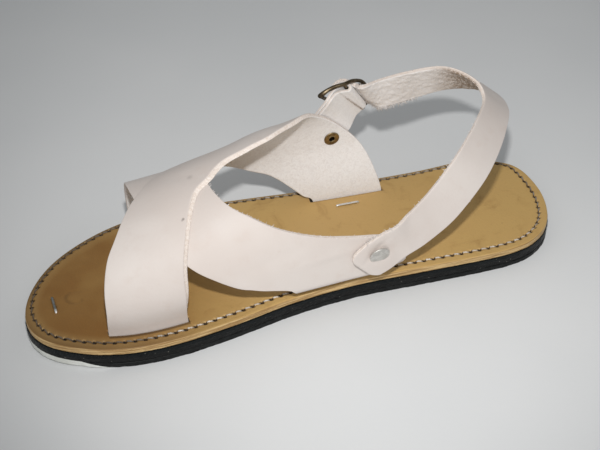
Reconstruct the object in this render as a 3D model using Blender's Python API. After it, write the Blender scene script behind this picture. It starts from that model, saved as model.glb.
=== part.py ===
"""Right leather sandal with two crossing vamp straps and a buckled sling-back strap.

Metres, +X to the toe, +Y to the medial side, +Z up, origin under the middle of the sole.
Stations are measured forward from the back of the heel.
"""

import math

import bmesh
import bpy
import numpy as np

# Driving sizes
LENGTH = 0.2713
OUTSOLE_THICK = 0.0030
MIDSOLE_THICK = 0.0050
INSOLE_THICK = 0.0033
INSOLE_INSET = 0.0004
FIT_GAP = 0.0003
TOE_SPRING = 0.0018
SPRING_START = 0.215
INSOLE_TOP = OUTSOLE_THICK + MIDSOLE_THICK + INSOLE_THICK
STRAP_THICK = 0.0024
SLOT_SEAT = INSOLE_THICK - FIT_GAP
SLOT_INSET = 0.0085
TOE_SLOT_SHIFT = 0.0033
TOE_SLOT_START = 0.160
TOE_SLOT_BLEND = 0.030
SLOT_GAP = 0.0006
TUCK_HEIGHT = 0.009
TOE_TUCK_HEIGHT = 0.026
LATERAL_TUCK_HEIGHT = 0.032
ANKLE_THICK = 0.0022
TAB_THICK = 0.0016
WIRE_RADIUS = 0.00095
BAR_RADIUS = 0.0008
PRONG_RADIUS = 0.0008
STAPLE_RADIUS = 0.00045
STAPLE_RISE = 0.0007
RIVET_OVERHANG = 0.0005
CUT_BEYOND = 0.0020

# Plan of the sole before its ends are rounded: station, centre line, half width
PLAN = (
    (0.0000, -0.0080, 0.0360),
    (0.0080, -0.0030, 0.0360),
    (0.0200, -0.0003, 0.0360),
    (0.0400, 0.0007, 0.0360),
    (0.0800, -0.0014, 0.0361),
    (0.1200, -0.0042, 0.0365),
    (0.1500, -0.0052, 0.0393),
    (0.1800, -0.0042, 0.0430),
    (0.2100, -0.0023, 0.0448),
    (0.2400, 0.0014, 0.0455),
    (0.2550, 0.0036, 0.0455),
    (0.2713, 0.0080, 0.0455),
)
# Fullness of the lateral edge beyond that plan: station, extra half width
LATERAL_FULL = (
    (0.0000, 0.0036),
    (0.0250, 0.0032),
    (0.0600, 0.0021),
    (0.1200, 0.0015),
    (0.1700, 0.0018),
    (0.2200, 0.0029),
    (0.2713, 0.0034),
)
HEEL_ROUND = 0.042
HEEL_POWER = 2.35
TOE_ROUND = 0.075
TOE_POWER = 1.95

# Last over the footbed: station, centre line, half width, instep height, squareness
LAST = (
    (0.075, -0.0005, 0.0350, 0.0760, 2.6),
    (0.110, -0.0010, 0.0365, 0.0700, 2.6),
    (0.140, -0.0015, 0.0375, 0.0620, 2.4),
    (0.165, -0.0020, 0.0385, 0.0540, 2.3),
    (0.190, -0.0025, 0.0390, 0.0465, 2.2),
    (0.215, -0.0030, 0.0380, 0.0390, 2.1),
    (0.240, -0.0020, 0.0340, 0.0320, 2.1),
)

# The lateral side of the last is squarer behind the ball, where the strap stands upright
LATERAL_SQUARE = 0.6
LATERAL_END = 0.175
LATERAL_BLEND = 0.035

# Over strap, medial toe to lateral heel. Each row is one cut across the strap:
# front station, front angle round the last, rear station, rear angle, front lift, rear lift
OVER_STRAP = (
    (0.2365, 0.0, 0.2005, 0.0, 0.0, 0.0),
    (0.2365, 10.0, 0.2010, 10.0, 0.0, 0.0),
    (0.2363, 24.0, 0.2010, 24.0, 0.3, 0.3),
    (0.2352, 42.0, 0.1998, 40.0, 0.8, 0.8),
    (0.2310, 60.0, 0.1960, 56.0, 0.9, 0.9),
    (0.2250, 73.0, 0.1915, 70.5, 0.9, 0.9),
    (0.2170, 88.5, 0.1860, 82.5, 0.9, 0.9),
    (0.2070, 103.5, 0.1790, 88.0, 0.9, 0.9),
    (0.1950, 121.0, 0.1690, 94.7, 0.9, 0.9),
    (0.1810, 133.5, 0.1566, 96.3, 0.9, 0.5),
    (0.1658, 146.9, 0.1433, 99.0, 0.4, -0.2),
    (0.1497, 162.7, 0.1304, 112.5, 0.1, -1.1),
    (0.1378, 169.7, 0.1166, 135.5, 0.0, -0.35),
    (0.1289, 175.2, 0.1031, 152.6, 0.0, 0.0),
    (0.1225, 178.3, 0.0897, 166.7, 0.0, 0.0),
    (0.1180, 179.2, 0.0821, 176.5, 0.0, 0.0),
    (0.1160, 180.0, 0.0790, 180.0, 0.0, 0.0),
)

# Under strap, medial heel to lateral toe, same columns
UNDER_STRAP = (
    (0.1425, 0.0, 0.1210, 0.0, 0.0, 0.0),
    (0.1460, 4.0, 0.1165, 3.6, 0.0, 0.0),
    (0.1500, 7.1, 0.1050, 5.2, 0.0, 0.0),
    (0.1545, 9.4, 0.0950, 7.0, 0.0, 0.0),
    (0.1605, 11.5, 0.1000, 15.6, 0.0, 0.0),
    (0.1680, 14.3, 0.1220, 23.0, 0.0, 0.0),
    (0.1775, 19.7, 0.1400, 30.8, 0.0, 0.0),
    (0.1870, 28.0, 0.1555, 42.0, 0.0, 0.0),
    (0.1950, 37.0, 0.1665, 55.0, 0.0, 0.0),
    (0.2015, 49.0, 0.1740, 66.5, 0.0, 0.0),
    (0.2075, 66.0, 0.1780, 79.0, 0.0, 0.0),
    (0.2105, 86.0, 0.1795, 93.0, 0.2, 0.0),
    (0.2115, 107.0, 0.1800, 110.0, 1.0, 0.0),
    (0.2112, 130.0, 0.1800, 130.0, 2.1, 0.1),
    (0.2110, 155.0, 0.1795, 155.0, 0.9, 0.1),
    (0.2105, 172.0, 0.1785, 172.0, 0.0, 0.0),
    (0.2100, 180.0, 0.1780, 180.0, 0.0, 0.0),
)

# Sling-back strap from the medial rivet round the heel to its free tip.
# Each row is one cut across it: lower edge x, y, z and upper edge x, y, z
ANKLE_STRAP = (
    (0.1124, 0.0392, 0.0187, 0.1250, 0.0390, 0.0320),
    (0.1040, 0.0391, 0.0221, 0.1183, 0.0385, 0.0375),
    (0.0955, 0.0394, 0.0275, 0.1089, 0.0378, 0.0424),
    (0.0850, 0.0374, 0.0306, 0.0979, 0.0346, 0.0452),
    (0.0674, 0.0325, 0.0383, 0.0815, 0.0275, 0.0516),
    (0.0483, 0.0240, 0.0529, 0.0651, 0.0212, 0.0652),
    (0.0306, 0.0050, 0.0612, 0.0490, 0.0070, 0.0712),
    (0.0212, -0.0130, 0.0614, 0.0376, -0.0075, 0.0724),
    (0.0250, -0.0290, 0.0618, 0.0372, -0.0190, 0.0757),
    (0.0400, -0.0380, 0.0607, 0.0480, -0.0305, 0.0786),
    (0.0600, -0.0400, 0.0580, 0.0660, -0.0345, 0.0775),
    (0.0745, -0.0408, 0.0560, 0.0790, -0.0385, 0.0735),
)
# The same strap through the buckle to its tip:
# distance from the bar, step outward, reach of the lower edge, reach of the upper edge
ANKLE_DRAWN = (
    (0.0064, -0.0030, 0.0172, 0.0050),
    (0.0043, 0.0009, 0.0154, 0.0040),
    (0.0018, 0.0039, 0.0118, 0.0082),
    (-0.0010, 0.0047, 0.0090, 0.0102),
    (-0.0040, 0.0046, 0.0075, 0.0102),
    (-0.0062, 0.0044, 0.0060, 0.0085),
    (-0.0072, 0.0043, 0.0040, 0.0060),
)

# Where the sling-back strap comes to lie flat on the under strap
LAID_START = 0.0930
LAID_LENGTH = 0.0125

# Rivets through the straps: station, angle round the last
RIVET_MEDIAL = (0.1105, 13.4)
RIVET_LATERAL = (0.1055, 160.2)
RIVET_HOLE = 0.0021
RIVET_HOLE_REACH = 0.012
# Tubular rivet turned about its axis: radius, share of the stack, step beyond the stack
RIVET_PROFILE = (
    (0.0000, 1.0, 0.0013),
    (0.0028, 1.0, 0.0011),
    (0.0044, 1.0, 0.0006),
    (0.0047, 1.0, 0.0002),
    (0.0017, 1.0, 0.0002),
    (0.0017, 0.0, -0.0002),
    (0.0040, 0.0, -0.0002),
    (0.0041, 0.0, -0.0006),
    (0.0030, 0.0, -0.0010),
    (0.0015, 0.0, -0.0008),
    (0.0013, 0.3, 0.0),
    (0.0000, 0.3, 0.0),
)

# Buckle: middle of its bar, bar direction, direction the strap is drawn in
BUCKLE_CENTRE = (0.0928, -0.0407, 0.0662)
BAR_AXIS = (-0.531, -0.291, -0.796)
DRAW_AXIS = (-0.780, 0.0, 0.620)
# Frame, a bent wire loop: x, y, z from the toe end of its upper rail round the heel side
FRAME_LOOP = (
    (0.1108, -0.0378, 0.0716),
    (0.1074, -0.0371, 0.0743),
    (0.1036, -0.0370, 0.0756),
    (0.0988, -0.0372, 0.0760),
    (0.0933, -0.0397, 0.0752),
    (0.0873, -0.0426, 0.0717),
    (0.0828, -0.0442, 0.0656),
    (0.0797, -0.0468, 0.0610),
    (0.0803, -0.0476, 0.0566),
    (0.0840, -0.0466, 0.0546),
    (0.0885, -0.0477, 0.0532),
    (0.0970, -0.0469, 0.0570),
    (0.1050, -0.0448, 0.0636),
    (0.1096, -0.0410, 0.0688),
)
BAR_ENDS = ((0.0992, -0.0372, 0.0758), (0.0846, -0.0452, 0.0539))
# Folded tab, one panel from its lower end to the bar:
# distance from the bar, step off the middle, reach of the toe edge, reach of the heel edge
TAB_PANEL = (
    (-0.0280, 0.00095, 0.0030, 0.0190),
    (-0.0206, 0.00095, 0.0066, 0.0174),
    (-0.0151, 0.00095, 0.0100, 0.0160),
    (-0.0113, 0.00100, 0.0124, 0.0151),
    (-0.0080, 0.00115, 0.0132, 0.0143),
    (-0.0040, 0.00145, 0.0120, 0.0134),
    (0.0000, 0.00190, 0.0085, 0.0124),
)
TAB_LAID_START = 0.004
TAB_LAID_LENGTH = 0.010
PRONG_PLACE = 0.0045
# Prong from the bar over the frame: distance from the bar, step outward
PRONG_PATH = (
    (0.0002, 0.0020),
    (0.0006, 0.0046),
    (0.0018, 0.0063),
    (0.0044, 0.0058),
    (0.0068, 0.0045),
    (0.0086, 0.0037),
)

# Ways cut for the prong through the strap and through the tab's fold, same columns
PRONG_HOLE = 0.0015
PRONG_HOLE_PATH = ((0.0008, 0.0030), (0.0008, 0.0055), (0.0008, 0.0080))
PRONG_SLOT = 0.0015
PRONG_SLOT_PATH = ((-0.0004, 0.0012), (0.0004, 0.0035), (0.0012, 0.0060))

# Staples in the footbed: station and side of one leg, then of the other leg
STAPLES = {
    "staple_toe": (0.2571, -0.0030, 0.2569, 0.0070),
    "staple_waist": (0.1063, -0.0238, 0.0949, -0.0232),
}

STAPLE_LEG = 0.0025
# One staple from leg to leg: share of the way across, height over the footbed
STAPLE_PATH = (
    (0.00, -STAPLE_LEG),
    (0.00, -0.4 * STAPLE_LEG),
    (0.00, 0.3 * STAPLE_RISE),
    (0.05, STAPLE_RISE),
    (0.50, STAPLE_RISE),
    (0.95, STAPLE_RISE),
    (1.00, 0.3 * STAPLE_RISE),
    (1.00, -0.4 * STAPLE_LEG),
    (1.00, -STAPLE_LEG),
)

# Mesh fineness
PLAN_STEPS = 48
PLAN_COLUMNS = 4
STRAP_STEPS = 44
STRAP_COLUMNS = 7
ANKLE_STEPS = 60
ANKLE_COLUMNS = 4
TAB_STEPS = 12
TAB_COLUMNS = 6
FOLD_STEPS = 9
BAR_STEPS = 6
PRONG_STEPS = 14
ROUND_SIDES = 10
RING_STEPS = 42
ANGLE_STEP = 0.4
STATION_STEP = 0.0002

# Colours: base colour, roughness, metallic
FINISHES = {
    "footbed_leather": ((0.30, 0.16, 0.055, 1.0), 0.55, 0.0),
    "strap_leather": ((0.72, 0.58, 0.50, 1.0), 0.60, 0.0),
    "black_rubber": ((0.012, 0.013, 0.012, 1.0), 0.55, 0.0),
    "pale_rubber": ((0.42, 0.42, 0.38, 1.0), 0.70, 0.0),
    "dark_brass": ((0.09, 0.07, 0.045, 1.0), 0.40, 1.0),
    "rivet_brass": ((0.36, 0.27, 0.14, 1.0), 0.35, 1.0),
    "rivet_steel": ((0.50, 0.49, 0.46, 1.0), 0.35, 1.0),
    "staple_steel": ((0.62, 0.63, 0.65, 1.0), 0.30, 1.0),
}


def smooth_column(table, column, at):
    """Smooth value of one table column at positions along its first column."""
    rows = np.array(table, float)
    keys, values = rows[:, 0], rows[:, column]
    slopes = np.gradient(values, keys)
    at = np.clip(np.asarray(at, float), keys[0], keys[-1])
    low = np.clip(np.searchsorted(keys, at) - 1, 0, len(keys) - 2)
    span = keys[low + 1] - keys[low]
    t = (at - keys[low]) / span
    start = (2 * t**3 - 3 * t**2 + 1) * values[low] + (t**3 - 2 * t**2 + t) * span * slopes[low]
    end = (3 * t**2 - 2 * t**3) * values[low + 1] + (t**3 - t**2) * span * slopes[low + 1]
    return start + end


def rows_along(table, steps):
    """Resample every column of a table of cuts at even steps from first to last row."""
    keyed = [(index,) + tuple(row) for index, row in enumerate(table)]
    at = np.linspace(0, len(table) - 1, steps + 1)
    return np.stack([smooth_column(keyed, c + 1, at) for c in range(len(table[0]))], axis=1)


def ease(value):
    """Soft step from 0 to 1."""
    t = np.clip(value, 0.0, 1.0)
    return t * t * (3 - 2 * t)


def unit(vectors):
    vectors = np.asarray(vectors, float)
    return vectors / np.linalg.norm(vectors, axis=-1, keepdims=True)


def end_rounding(station):
    heel = np.clip(1 - station / HEEL_ROUND, 0, 1)
    toe = np.clip(1 - (LENGTH - station) / TOE_ROUND, 0, 1)
    heel_part = (1 - heel**HEEL_POWER) ** (1 / HEEL_POWER)
    return heel_part * (1 - toe**TOE_POWER) ** (1 / TOE_POWER)


def lateral_full(station, side):
    """Extra half width of the sole on its lateral side."""
    extra = smooth_column(LATERAL_FULL, 1, station) * end_rounding(station)
    return np.where(np.asarray(side) < 0, extra, 0.0)


def edge_side(station, side):
    """Side position of the sole's edge, side +1 medial or -1 lateral."""
    half = smooth_column(PLAN, 2, station) * end_rounding(station) + lateral_full(station, side)
    return smooth_column(PLAN, 1, station) + side * half


def slot_inset(station, side):
    """Depth of a strap's slot from the sole's edge, more for the front medial slot."""
    toe_part = ease((np.asarray(station) - TOE_SLOT_START) / TOE_SLOT_BLEND)
    toe_shift = TOE_SLOT_SHIFT * toe_part * np.where(np.asarray(side) > 0, 1.0, 0.0)
    return SLOT_INSET + toe_shift + lateral_full(station, side)


def spring(station):
    """Lift of the whole stack towards the toe."""
    reach = np.clip((station - SPRING_START) / (LENGTH - SPRING_START), 0, 1)
    return TOE_SPRING * reach**2


SAMPLES = np.linspace(0.0, LENGTH, 541)
SIDE_MIDDLE = (edge_side(SAMPLES, 1).max() + edge_side(SAMPLES, -1).min() + RIVET_OVERHANG) / 2
TO_ORIGIN = np.array([-LENGTH / 2, -SIDE_MIDDLE, 0.0])


def section_power(station, side):
    """Power of the last's rounded section on its medial (+1) or lateral (-1) side."""
    upright = ease((LATERAL_END - np.asarray(station)) / LATERAL_BLEND)
    lateral = np.where(np.asarray(side) < 0, LATERAL_SQUARE, 0.0)
    return 2 / (smooth_column(LAST, 4, station) + lateral * upright)


def last_point(station, angle):
    """Point on the last, angle 0 at the medial slot and 180 at the lateral slot."""
    centre = smooth_column(LAST, 1, station)
    half = smooth_column(LAST, 2, station)
    height = smooth_column(LAST, 3, station)
    turn = np.radians(np.clip(angle, 0.0, 180.0))
    across, rise = np.cos(turn), np.clip(np.sin(turn), 0.0, 1.0)
    side = np.where(across >= 0, 1.0, -1.0)
    power = section_power(station, side)
    up = -SLOT_SEAT + (height + SLOT_SEAT) * rise**power
    free_side = centre + half * side * np.abs(across) ** power
    slot_side = edge_side(station, side) - side * slot_inset(station, side)
    toeward = ease((station - TOE_SLOT_START) / TOE_SLOT_BLEND)
    medial_tuck = TUCK_HEIGHT + (TOE_TUCK_HEIGHT - TUCK_HEIGHT) * toeward
    freed = ease(up / np.where(side > 0, medial_tuck, LATERAL_TUCK_HEIGHT))
    y = slot_side + (free_side - slot_side) * freed
    return np.stack([station, y, INSOLE_TOP + spring(station) + up], axis=-1)


def last_normal(station, angle):
    """Outward direction of the last at a point."""
    near, far = np.clip(angle - ANGLE_STEP, 0.0, 180.0), np.clip(angle + ANGLE_STEP, 0.0, 180.0)
    along = last_point(station + STATION_STEP, angle) - last_point(station - STATION_STEP, angle)
    round_it = last_point(station, far) - last_point(station, near)
    return unit(np.cross(round_it, along))


def add_object(name, vertices, faces, finish, smooth=True):
    """Closed mesh object with outward faces and its own material."""
    mesh = bpy.data.meshes.new(name)
    mesh.from_pydata([tuple(v) for v in vertices], [], faces)
    build = bmesh.new()
    build.from_mesh(mesh)
    bmesh.ops.remove_doubles(build, verts=build.verts, dist=1e-6)
    bmesh.ops.dissolve_degenerate(build, edges=build.edges, dist=1e-7)
    bmesh.ops.recalc_face_normals(build, faces=build.faces)
    if build.calc_volume(signed=True) < 0:
        bmesh.ops.reverse_faces(build, faces=build.faces)
    for face in build.faces:
        face.smooth = smooth
    build.to_mesh(mesh)
    build.free()
    made = bpy.data.objects.new(name, mesh)
    bpy.context.scene.collection.objects.link(made)
    if finish:
        colour, roughness, metallic = FINISHES[finish]
        material = bpy.data.materials.get(finish) or bpy.data.materials.new(finish)
        material.use_nodes = True
        shader = material.node_tree.nodes["Principled BSDF"]
        shader.inputs["Base Color"].default_value = colour
        shader.inputs["Roughness"].default_value = roughness
        shader.inputs["Metallic"].default_value = metallic
        mesh.materials.append(material)
    return made


def as_cutter(made):
    made.hide_render = True
    made.display_type = "WIRE"
    return made


def combine(target, other, operation):
    step = target.modifiers.new(operation.lower(), "BOOLEAN")
    step.operation = operation
    step.solver = "EXACT"
    step.object = as_cutter(other)


def shell(front, back):
    """Vertices and faces of a closed shell between two grids of the same shape."""
    rows, columns = front.shape[:2]
    vertices = np.concatenate([front.reshape(-1, 3), back.reshape(-1, 3)])
    offset = rows * columns

    def at(row, column, layer):
        return layer * offset + row * columns + column

    faces = []
    for r in range(rows - 1):
        for c in range(columns - 1):
            faces.append((at(r, c, 0), at(r, c + 1, 0), at(r + 1, c + 1, 0), at(r + 1, c, 0)))
            faces.append((at(r, c, 1), at(r + 1, c, 1), at(r + 1, c + 1, 1), at(r, c + 1, 1)))
    for r in range(rows - 1):
        for c in (0, columns - 1):
            faces.append((at(r, c, 0), at(r + 1, c, 0), at(r + 1, c, 1), at(r, c, 1)))
    for c in range(columns - 1):
        for r in (0, rows - 1):
            faces.append((at(r, c, 0), at(r, c + 1, 0), at(r, c + 1, 1), at(r, c, 1)))
    return vertices, faces


def tube(centres, radius, closed):
    """Vertices and faces of round wire along a path."""
    centres = np.asarray(centres, float)
    if closed:
        tangents = unit(np.roll(centres, -1, axis=0) - np.roll(centres, 1, axis=0))
    else:
        tangents = unit(np.gradient(centres, axis=0))
    hint = unit(np.cross(tangents[0], tangents[len(tangents) // 3]) + 1e-6)
    first = unit(hint - tangents * (tangents @ hint)[:, None])
    second = np.cross(tangents, first)
    turns = np.linspace(0, 2 * math.pi, ROUND_SIDES, endpoint=False)
    ring = np.cos(turns)[None, :, None] * first[:, None] + np.sin(turns)[None, :, None] * second[:, None]
    grid = centres[:, None] + radius * ring
    count = len(centres)
    faces = []
    for r in range(count if closed else count - 1):
        for c in range(ROUND_SIDES):
            d = (c + 1) % ROUND_SIDES
            n = (r + 1) % count
            faces.append((r * ROUND_SIDES + c, r * ROUND_SIDES + d, n * ROUND_SIDES + d, n * ROUND_SIDES + c))
    if not closed:
        faces.append(tuple(range(ROUND_SIDES)))
        faces.append(tuple(range((count - 1) * ROUND_SIDES, count * ROUND_SIDES)))
    return grid.reshape(-1, 3), faces


def sole_layer(name, low, high, inset, finish):
    """One flat layer of the sole between two heights."""
    turn = np.linspace(0, math.pi, PLAN_STEPS + 1)
    station = inset + (LENGTH - 2 * inset) * (1 - np.cos(turn)) / 2
    share = np.linspace(-1, 1, PLAN_COLUMNS + 1)
    plan_station = LENGTH * (1 - np.cos(turn)) / 2
    middle = (edge_side(plan_station, 1) + edge_side(plan_station, -1)) / 2
    half = np.maximum((edge_side(plan_station, 1) - edge_side(plan_station, -1)) / 2 - inset, 0.0)
    half[0] = half[-1] = 0.0
    y = middle[:, None] + half[:, None] * share[None, :]
    x = np.repeat(station[:, None], PLAN_COLUMNS + 1, axis=1)
    lift = spring(x)
    top = np.stack([x, y, high + lift], axis=-1) + TO_ORIGIN
    bottom = np.stack([x, y, low + lift], axis=-1) + TO_ORIGIN
    vertices, faces = shell(top, bottom)
    return add_object(name, vertices, faces, finish, smooth=False)


def strap_grids(table):
    """Inner and outer grids of a strap laid on the last."""
    rows = rows_along(table, STRAP_STEPS)
    share = np.linspace(0, 1, STRAP_COLUMNS + 1)[None, :]
    station = rows[:, 2:3] + (rows[:, 0:1] - rows[:, 2:3]) * share
    angle = np.clip(rows[:, 3:4] + (rows[:, 1:2] - rows[:, 3:4]) * share, 0.0, 180.0)
    lift = (rows[:, 5:6] + (rows[:, 4:5] - rows[:, 5:6]) * share) * STRAP_THICK
    base, normal = last_point(station, angle) + TO_ORIGIN, last_normal(station, angle)
    return base + normal * lift[..., None], base + normal * (lift + STRAP_THICK)[..., None]


def buckle_point(along_bar, drawn, off):
    """Point in the buckle's own directions: along its bar, along the strap, outward."""
    bar = unit(BAR_AXIS)
    draw = unit(np.array(DRAW_AXIS) - bar * np.dot(DRAW_AXIS, bar))
    outward = unit(np.cross(bar, draw))
    outward = outward * (-1.0 if outward[1] > 0 else 1.0)
    centre = np.array(BUCKLE_CENTRE) + TO_ORIGIN
    along_bar, drawn, off = (np.asarray(v, float)[..., None] for v in (along_bar, drawn, off))
    return centre + along_bar * bar + drawn * draw + off * outward


def last_side(station, height, side):
    """Side position of the last at a height above the floor."""
    instep = smooth_column(LAST, 3, station) + SLOT_SEAT
    power = section_power(station, side)
    up = np.clip((height - INSOLE_TOP + SLOT_SEAT) / instep, 0.0, 1.0)
    turn = np.degrees(np.arcsin(up ** (1 / power)))
    angle = turn if side > 0 else 180.0 - turn
    return last_point(station, angle)[..., 1]


def grid_wall(station, side, heights):
    x = np.repeat(station[:, None], len(heights), axis=1)
    y = np.repeat(side[:, None], len(heights), axis=1)
    z = np.repeat(heights[None, :], len(station), axis=0)
    return np.stack([x, y, z], axis=-1) + TO_ORIGIN


def thickened(grid, thick):
    """Grids half a thickness to either side of a middle grid, in final coordinates."""
    normal = unit(np.cross(np.gradient(grid, axis=0), np.gradient(grid, axis=1)))
    return grid + normal * thick / 2 + TO_ORIGIN, grid - normal * thick / 2 + TO_ORIGIN


def make_sole():
    midsole_top = OUTSOLE_THICK + MIDSOLE_THICK
    sole_layer("outsole", 0.0, OUTSOLE_THICK - FIT_GAP, 0.0, "pale_rubber")
    sole_layer("midsole", OUTSOLE_THICK, midsole_top - FIT_GAP, 0.0, "black_rubber")
    insole = sole_layer("insole", midsole_top, INSOLE_TOP, INSOLE_INSET, "footbed_leather")
    slots = []
    for table in (OVER_STRAP, UNDER_STRAP):
        cuts = rows_along(table, STRAP_STEPS)
        for seated, side in ((cuts[:3], 1), (cuts[-3:], -1)):
            rear, front = seated[:, 2].min() - SLOT_GAP, seated[:, 0].max() + SLOT_GAP
            station = np.linspace(rear, front, STRAP_COLUMNS + 2)
            inset = slot_inset(station, side)
            inner = edge_side(station, side) - side * (inset + SLOT_GAP)
            outer = edge_side(station, side) - side * (inset - STRAP_THICK - SLOT_GAP)
            heights = np.array([midsole_top - CUT_BEYOND, INSOLE_TOP + CUT_BEYOND])
            slots.append([grid_wall(station, inner, heights), grid_wall(station, outer, heights)])
    for number, (inner, outer) in enumerate(slots):
        vertices, faces = shell(inner, outer)
        combine(insole, add_object(f"slot_{number}", vertices, faces, None), "DIFFERENCE")
    for name, (x1, y1, x2, y2) in STAPLES.items():
        for end, (x, y) in enumerate(((x1, y1), (x2, y2))):
            top = INSOLE_TOP + spring(x)
            heights = (top - STAPLE_LEG - FIT_GAP, top, top + CUT_BEYOND)
            leg = np.array([[x, y, height] for height in heights]) + TO_ORIGIN
            vertices, faces = tube(leg, STAPLE_RADIUS + FIT_GAP / 2, False)
            combine(insole, add_object(f"{name}_hole_{end}", vertices, faces, None), "DIFFERENCE")


def make_staples():
    for name, (x1, y1, x2, y2) in STAPLES.items():
        points = []
        for share, up in STAPLE_PATH:
            x, y = x1 + share * (x2 - x1), y1 + share * (y2 - y1)
            points.append((x, y, INSOLE_TOP + spring(x) + up))
        vertices, faces = tube(np.array(points) + TO_ORIGIN, STAPLE_RADIUS, False)
        add_object(name, vertices, faces, "staple_steel")


def rivet_axis(place):
    """Start on the inside of the strap and outward direction."""
    station, angle = (np.array([v]) for v in place)
    start = (last_point(station, angle) + TO_ORIGIN)[0]
    return start, last_normal(station, angle)[0]


def turned(name, start, axis, profile, finish):
    """Solid turned about an axis from radius and height pairs."""
    first = unit(np.cross(axis, [1.0, 0.0, 0.2]))
    second = np.cross(axis, first)
    turns = np.linspace(0, 2 * math.pi, ROUND_SIDES * 2, endpoint=False)
    ring = np.cos(turns)[:, None] * first + np.sin(turns)[:, None] * second
    grid = np.array([start + axis * height + ring * radius for radius, height in profile])
    count, sides = len(profile), len(turns)
    faces = []
    for r in range(count - 1):
        for c in range(sides):
            d = (c + 1) % sides
            faces.append((r * sides + c, r * sides + d, (r + 1) * sides + d, (r + 1) * sides + c))
    return add_object(name, grid.reshape(-1, 3), faces, finish)


def rivet_hole(name, place):
    start, axis = rivet_axis(place)
    path = np.array([start - axis * 2 * CUT_BEYOND, start, start + axis * RIVET_HOLE_REACH])
    vertices, faces = tube(path, RIVET_HOLE, False)
    return add_object(name, vertices, faces, None)


def make_rivet(name, place, stack, finish):
    start, axis = rivet_axis(place)
    profile = [(radius, share * stack + step) for radius, share, step in RIVET_PROFILE]
    turned(name, start, axis, profile, finish)


def make_upper():
    straps = {}
    for name, table in (("upper", OVER_STRAP), ("under_strap", UNDER_STRAP)):
        inner, outer = strap_grids(table)
        vertices, faces = shell(inner, outer)
        straps[name] = add_object(name, vertices, faces, "strap_leather")
    combine(straps["upper"], straps["under_strap"], "UNION")
    combine(straps["upper"], rivet_hole("hole_medial", RIVET_MEDIAL), "DIFFERENCE")
    combine(straps["upper"], rivet_hole("hole_lateral", RIVET_LATERAL), "DIFFERENCE")


def prong_way(name, path, radius, finish=None):
    """Round piece along the prong's way: distance from the bar, step outward."""
    drawn, off = np.array(path).T
    vertices, faces = tube(buckle_point(np.full(len(drawn), PRONG_PLACE), drawn, off), radius, False)
    return add_object(name, vertices, faces, finish)


def make_ankle_strap():
    drawn, off, low_reach, top_reach = np.array(ANKLE_DRAWN).T
    low = buckle_point(low_reach, drawn, off) - TO_ORIGIN
    top = buckle_point(-top_reach, drawn, off) - TO_ORIGIN
    rows = np.concatenate([np.array(ANKLE_STRAP), np.concatenate([low, top], axis=1)])
    run = rows_along([tuple(row) for row in rows], ANKLE_STEPS)
    share = np.linspace(0, 1, ANKLE_COLUMNS + 1)[None, :, None]
    grid = run[:, None, :3] * (1 - share) + run[:, None, 3:] * share
    clear = STRAP_THICK + 3 * FIT_GAP + ANKLE_THICK / 2
    laid = ease((grid[..., 0] - LAID_START) / LAID_LENGTH) * (grid[..., 1] > 0)
    on_strap = last_side(grid[..., 0], grid[..., 2], 1) + clear
    grid[..., 1] += laid * (on_strap - grid[..., 1])
    inner, outer = thickened(grid, ANKLE_THICK)
    vertices, faces = shell(inner, outer)
    strap = add_object("ankle_strap", vertices, faces, "strap_leather")
    combine(strap, rivet_hole("hole_ankle", RIVET_MEDIAL), "DIFFERENCE")
    combine(strap, prong_way("prong_hole", PRONG_HOLE_PATH, PRONG_HOLE), "DIFFERENCE")


def make_buckle():
    loop = np.array(FRAME_LOOP + FRAME_LOOP + FRAME_LOOP)
    turn = np.linspace(0, len(FRAME_LOOP), RING_STEPS, endpoint=False) + len(FRAME_LOOP)
    keyed = [(index,) + tuple(row) for index, row in enumerate(loop)]
    path = np.stack([smooth_column(keyed, c, turn) for c in (1, 2, 3)], axis=1) + TO_ORIGIN
    vertices, faces = tube(path, WIRE_RADIUS, True)
    frame = add_object("buckle_frame", vertices, faces, "dark_brass")
    share = np.linspace(0, 1, BAR_STEPS + 1)[:, None]
    bar = np.array(BAR_ENDS[0]) * (1 - share) + np.array(BAR_ENDS[1]) * share + TO_ORIGIN
    vertices, faces = tube(bar, BAR_RADIUS, False)
    combine(frame, add_object("buckle_bar", vertices, faces, None), "UNION")
    prong_way("buckle_prong", rows_along(PRONG_PATH, PRONG_STEPS), PRONG_RADIUS, "dark_brass")


def make_tab():
    panel = rows_along(TAB_PANEL, TAB_STEPS)
    fold = np.linspace(0, math.pi, FOLD_STEPS + 1)[1:-1]
    radius, toe_end, heel_end = TAB_PANEL[-1][1:]
    same = np.ones_like(fold)
    drawn = np.concatenate([panel[:, 0], radius * np.sin(fold), panel[::-1, 0]])
    off = np.concatenate([panel[:, 1], radius * np.cos(fold), -panel[::-1, 1]])
    toe_edge = np.concatenate([panel[:, 2], toe_end * same, panel[::-1, 2]])
    heel_edge = np.concatenate([panel[:, 3], heel_end * same, panel[::-1, 3]])
    share = np.linspace(0, 1, TAB_COLUMNS + 1)[None, :]
    along = -toe_edge[:, None] + (toe_edge + heel_edge)[:, None] * share
    grid = buckle_point(along, drawn[:, None] + share * 0, off[:, None] + share * 0) - TO_ORIGIN
    layer = np.where(off > 0, 1.5 * TAB_THICK + FIT_GAP, 0.5 * TAB_THICK)[:, None]
    on_strap = last_side(grid[..., 0], grid[..., 2], -1) - STRAP_THICK - 2 * FIT_GAP - layer
    laid = ease((-drawn - TAB_LAID_START) / TAB_LAID_LENGTH)[:, None]
    grid[..., 1] += laid * (on_strap - grid[..., 1])
    inner, outer = thickened(grid, TAB_THICK)
    vertices, faces = shell(inner, outer)
    tab = add_object("buckle_tab", vertices, faces, "strap_leather")
    combine(tab, rivet_hole("hole_tab", RIVET_LATERAL), "DIFFERENCE")
    combine(tab, prong_way("tab_slot", PRONG_SLOT_PATH, PRONG_SLOT), "DIFFERENCE")


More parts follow.
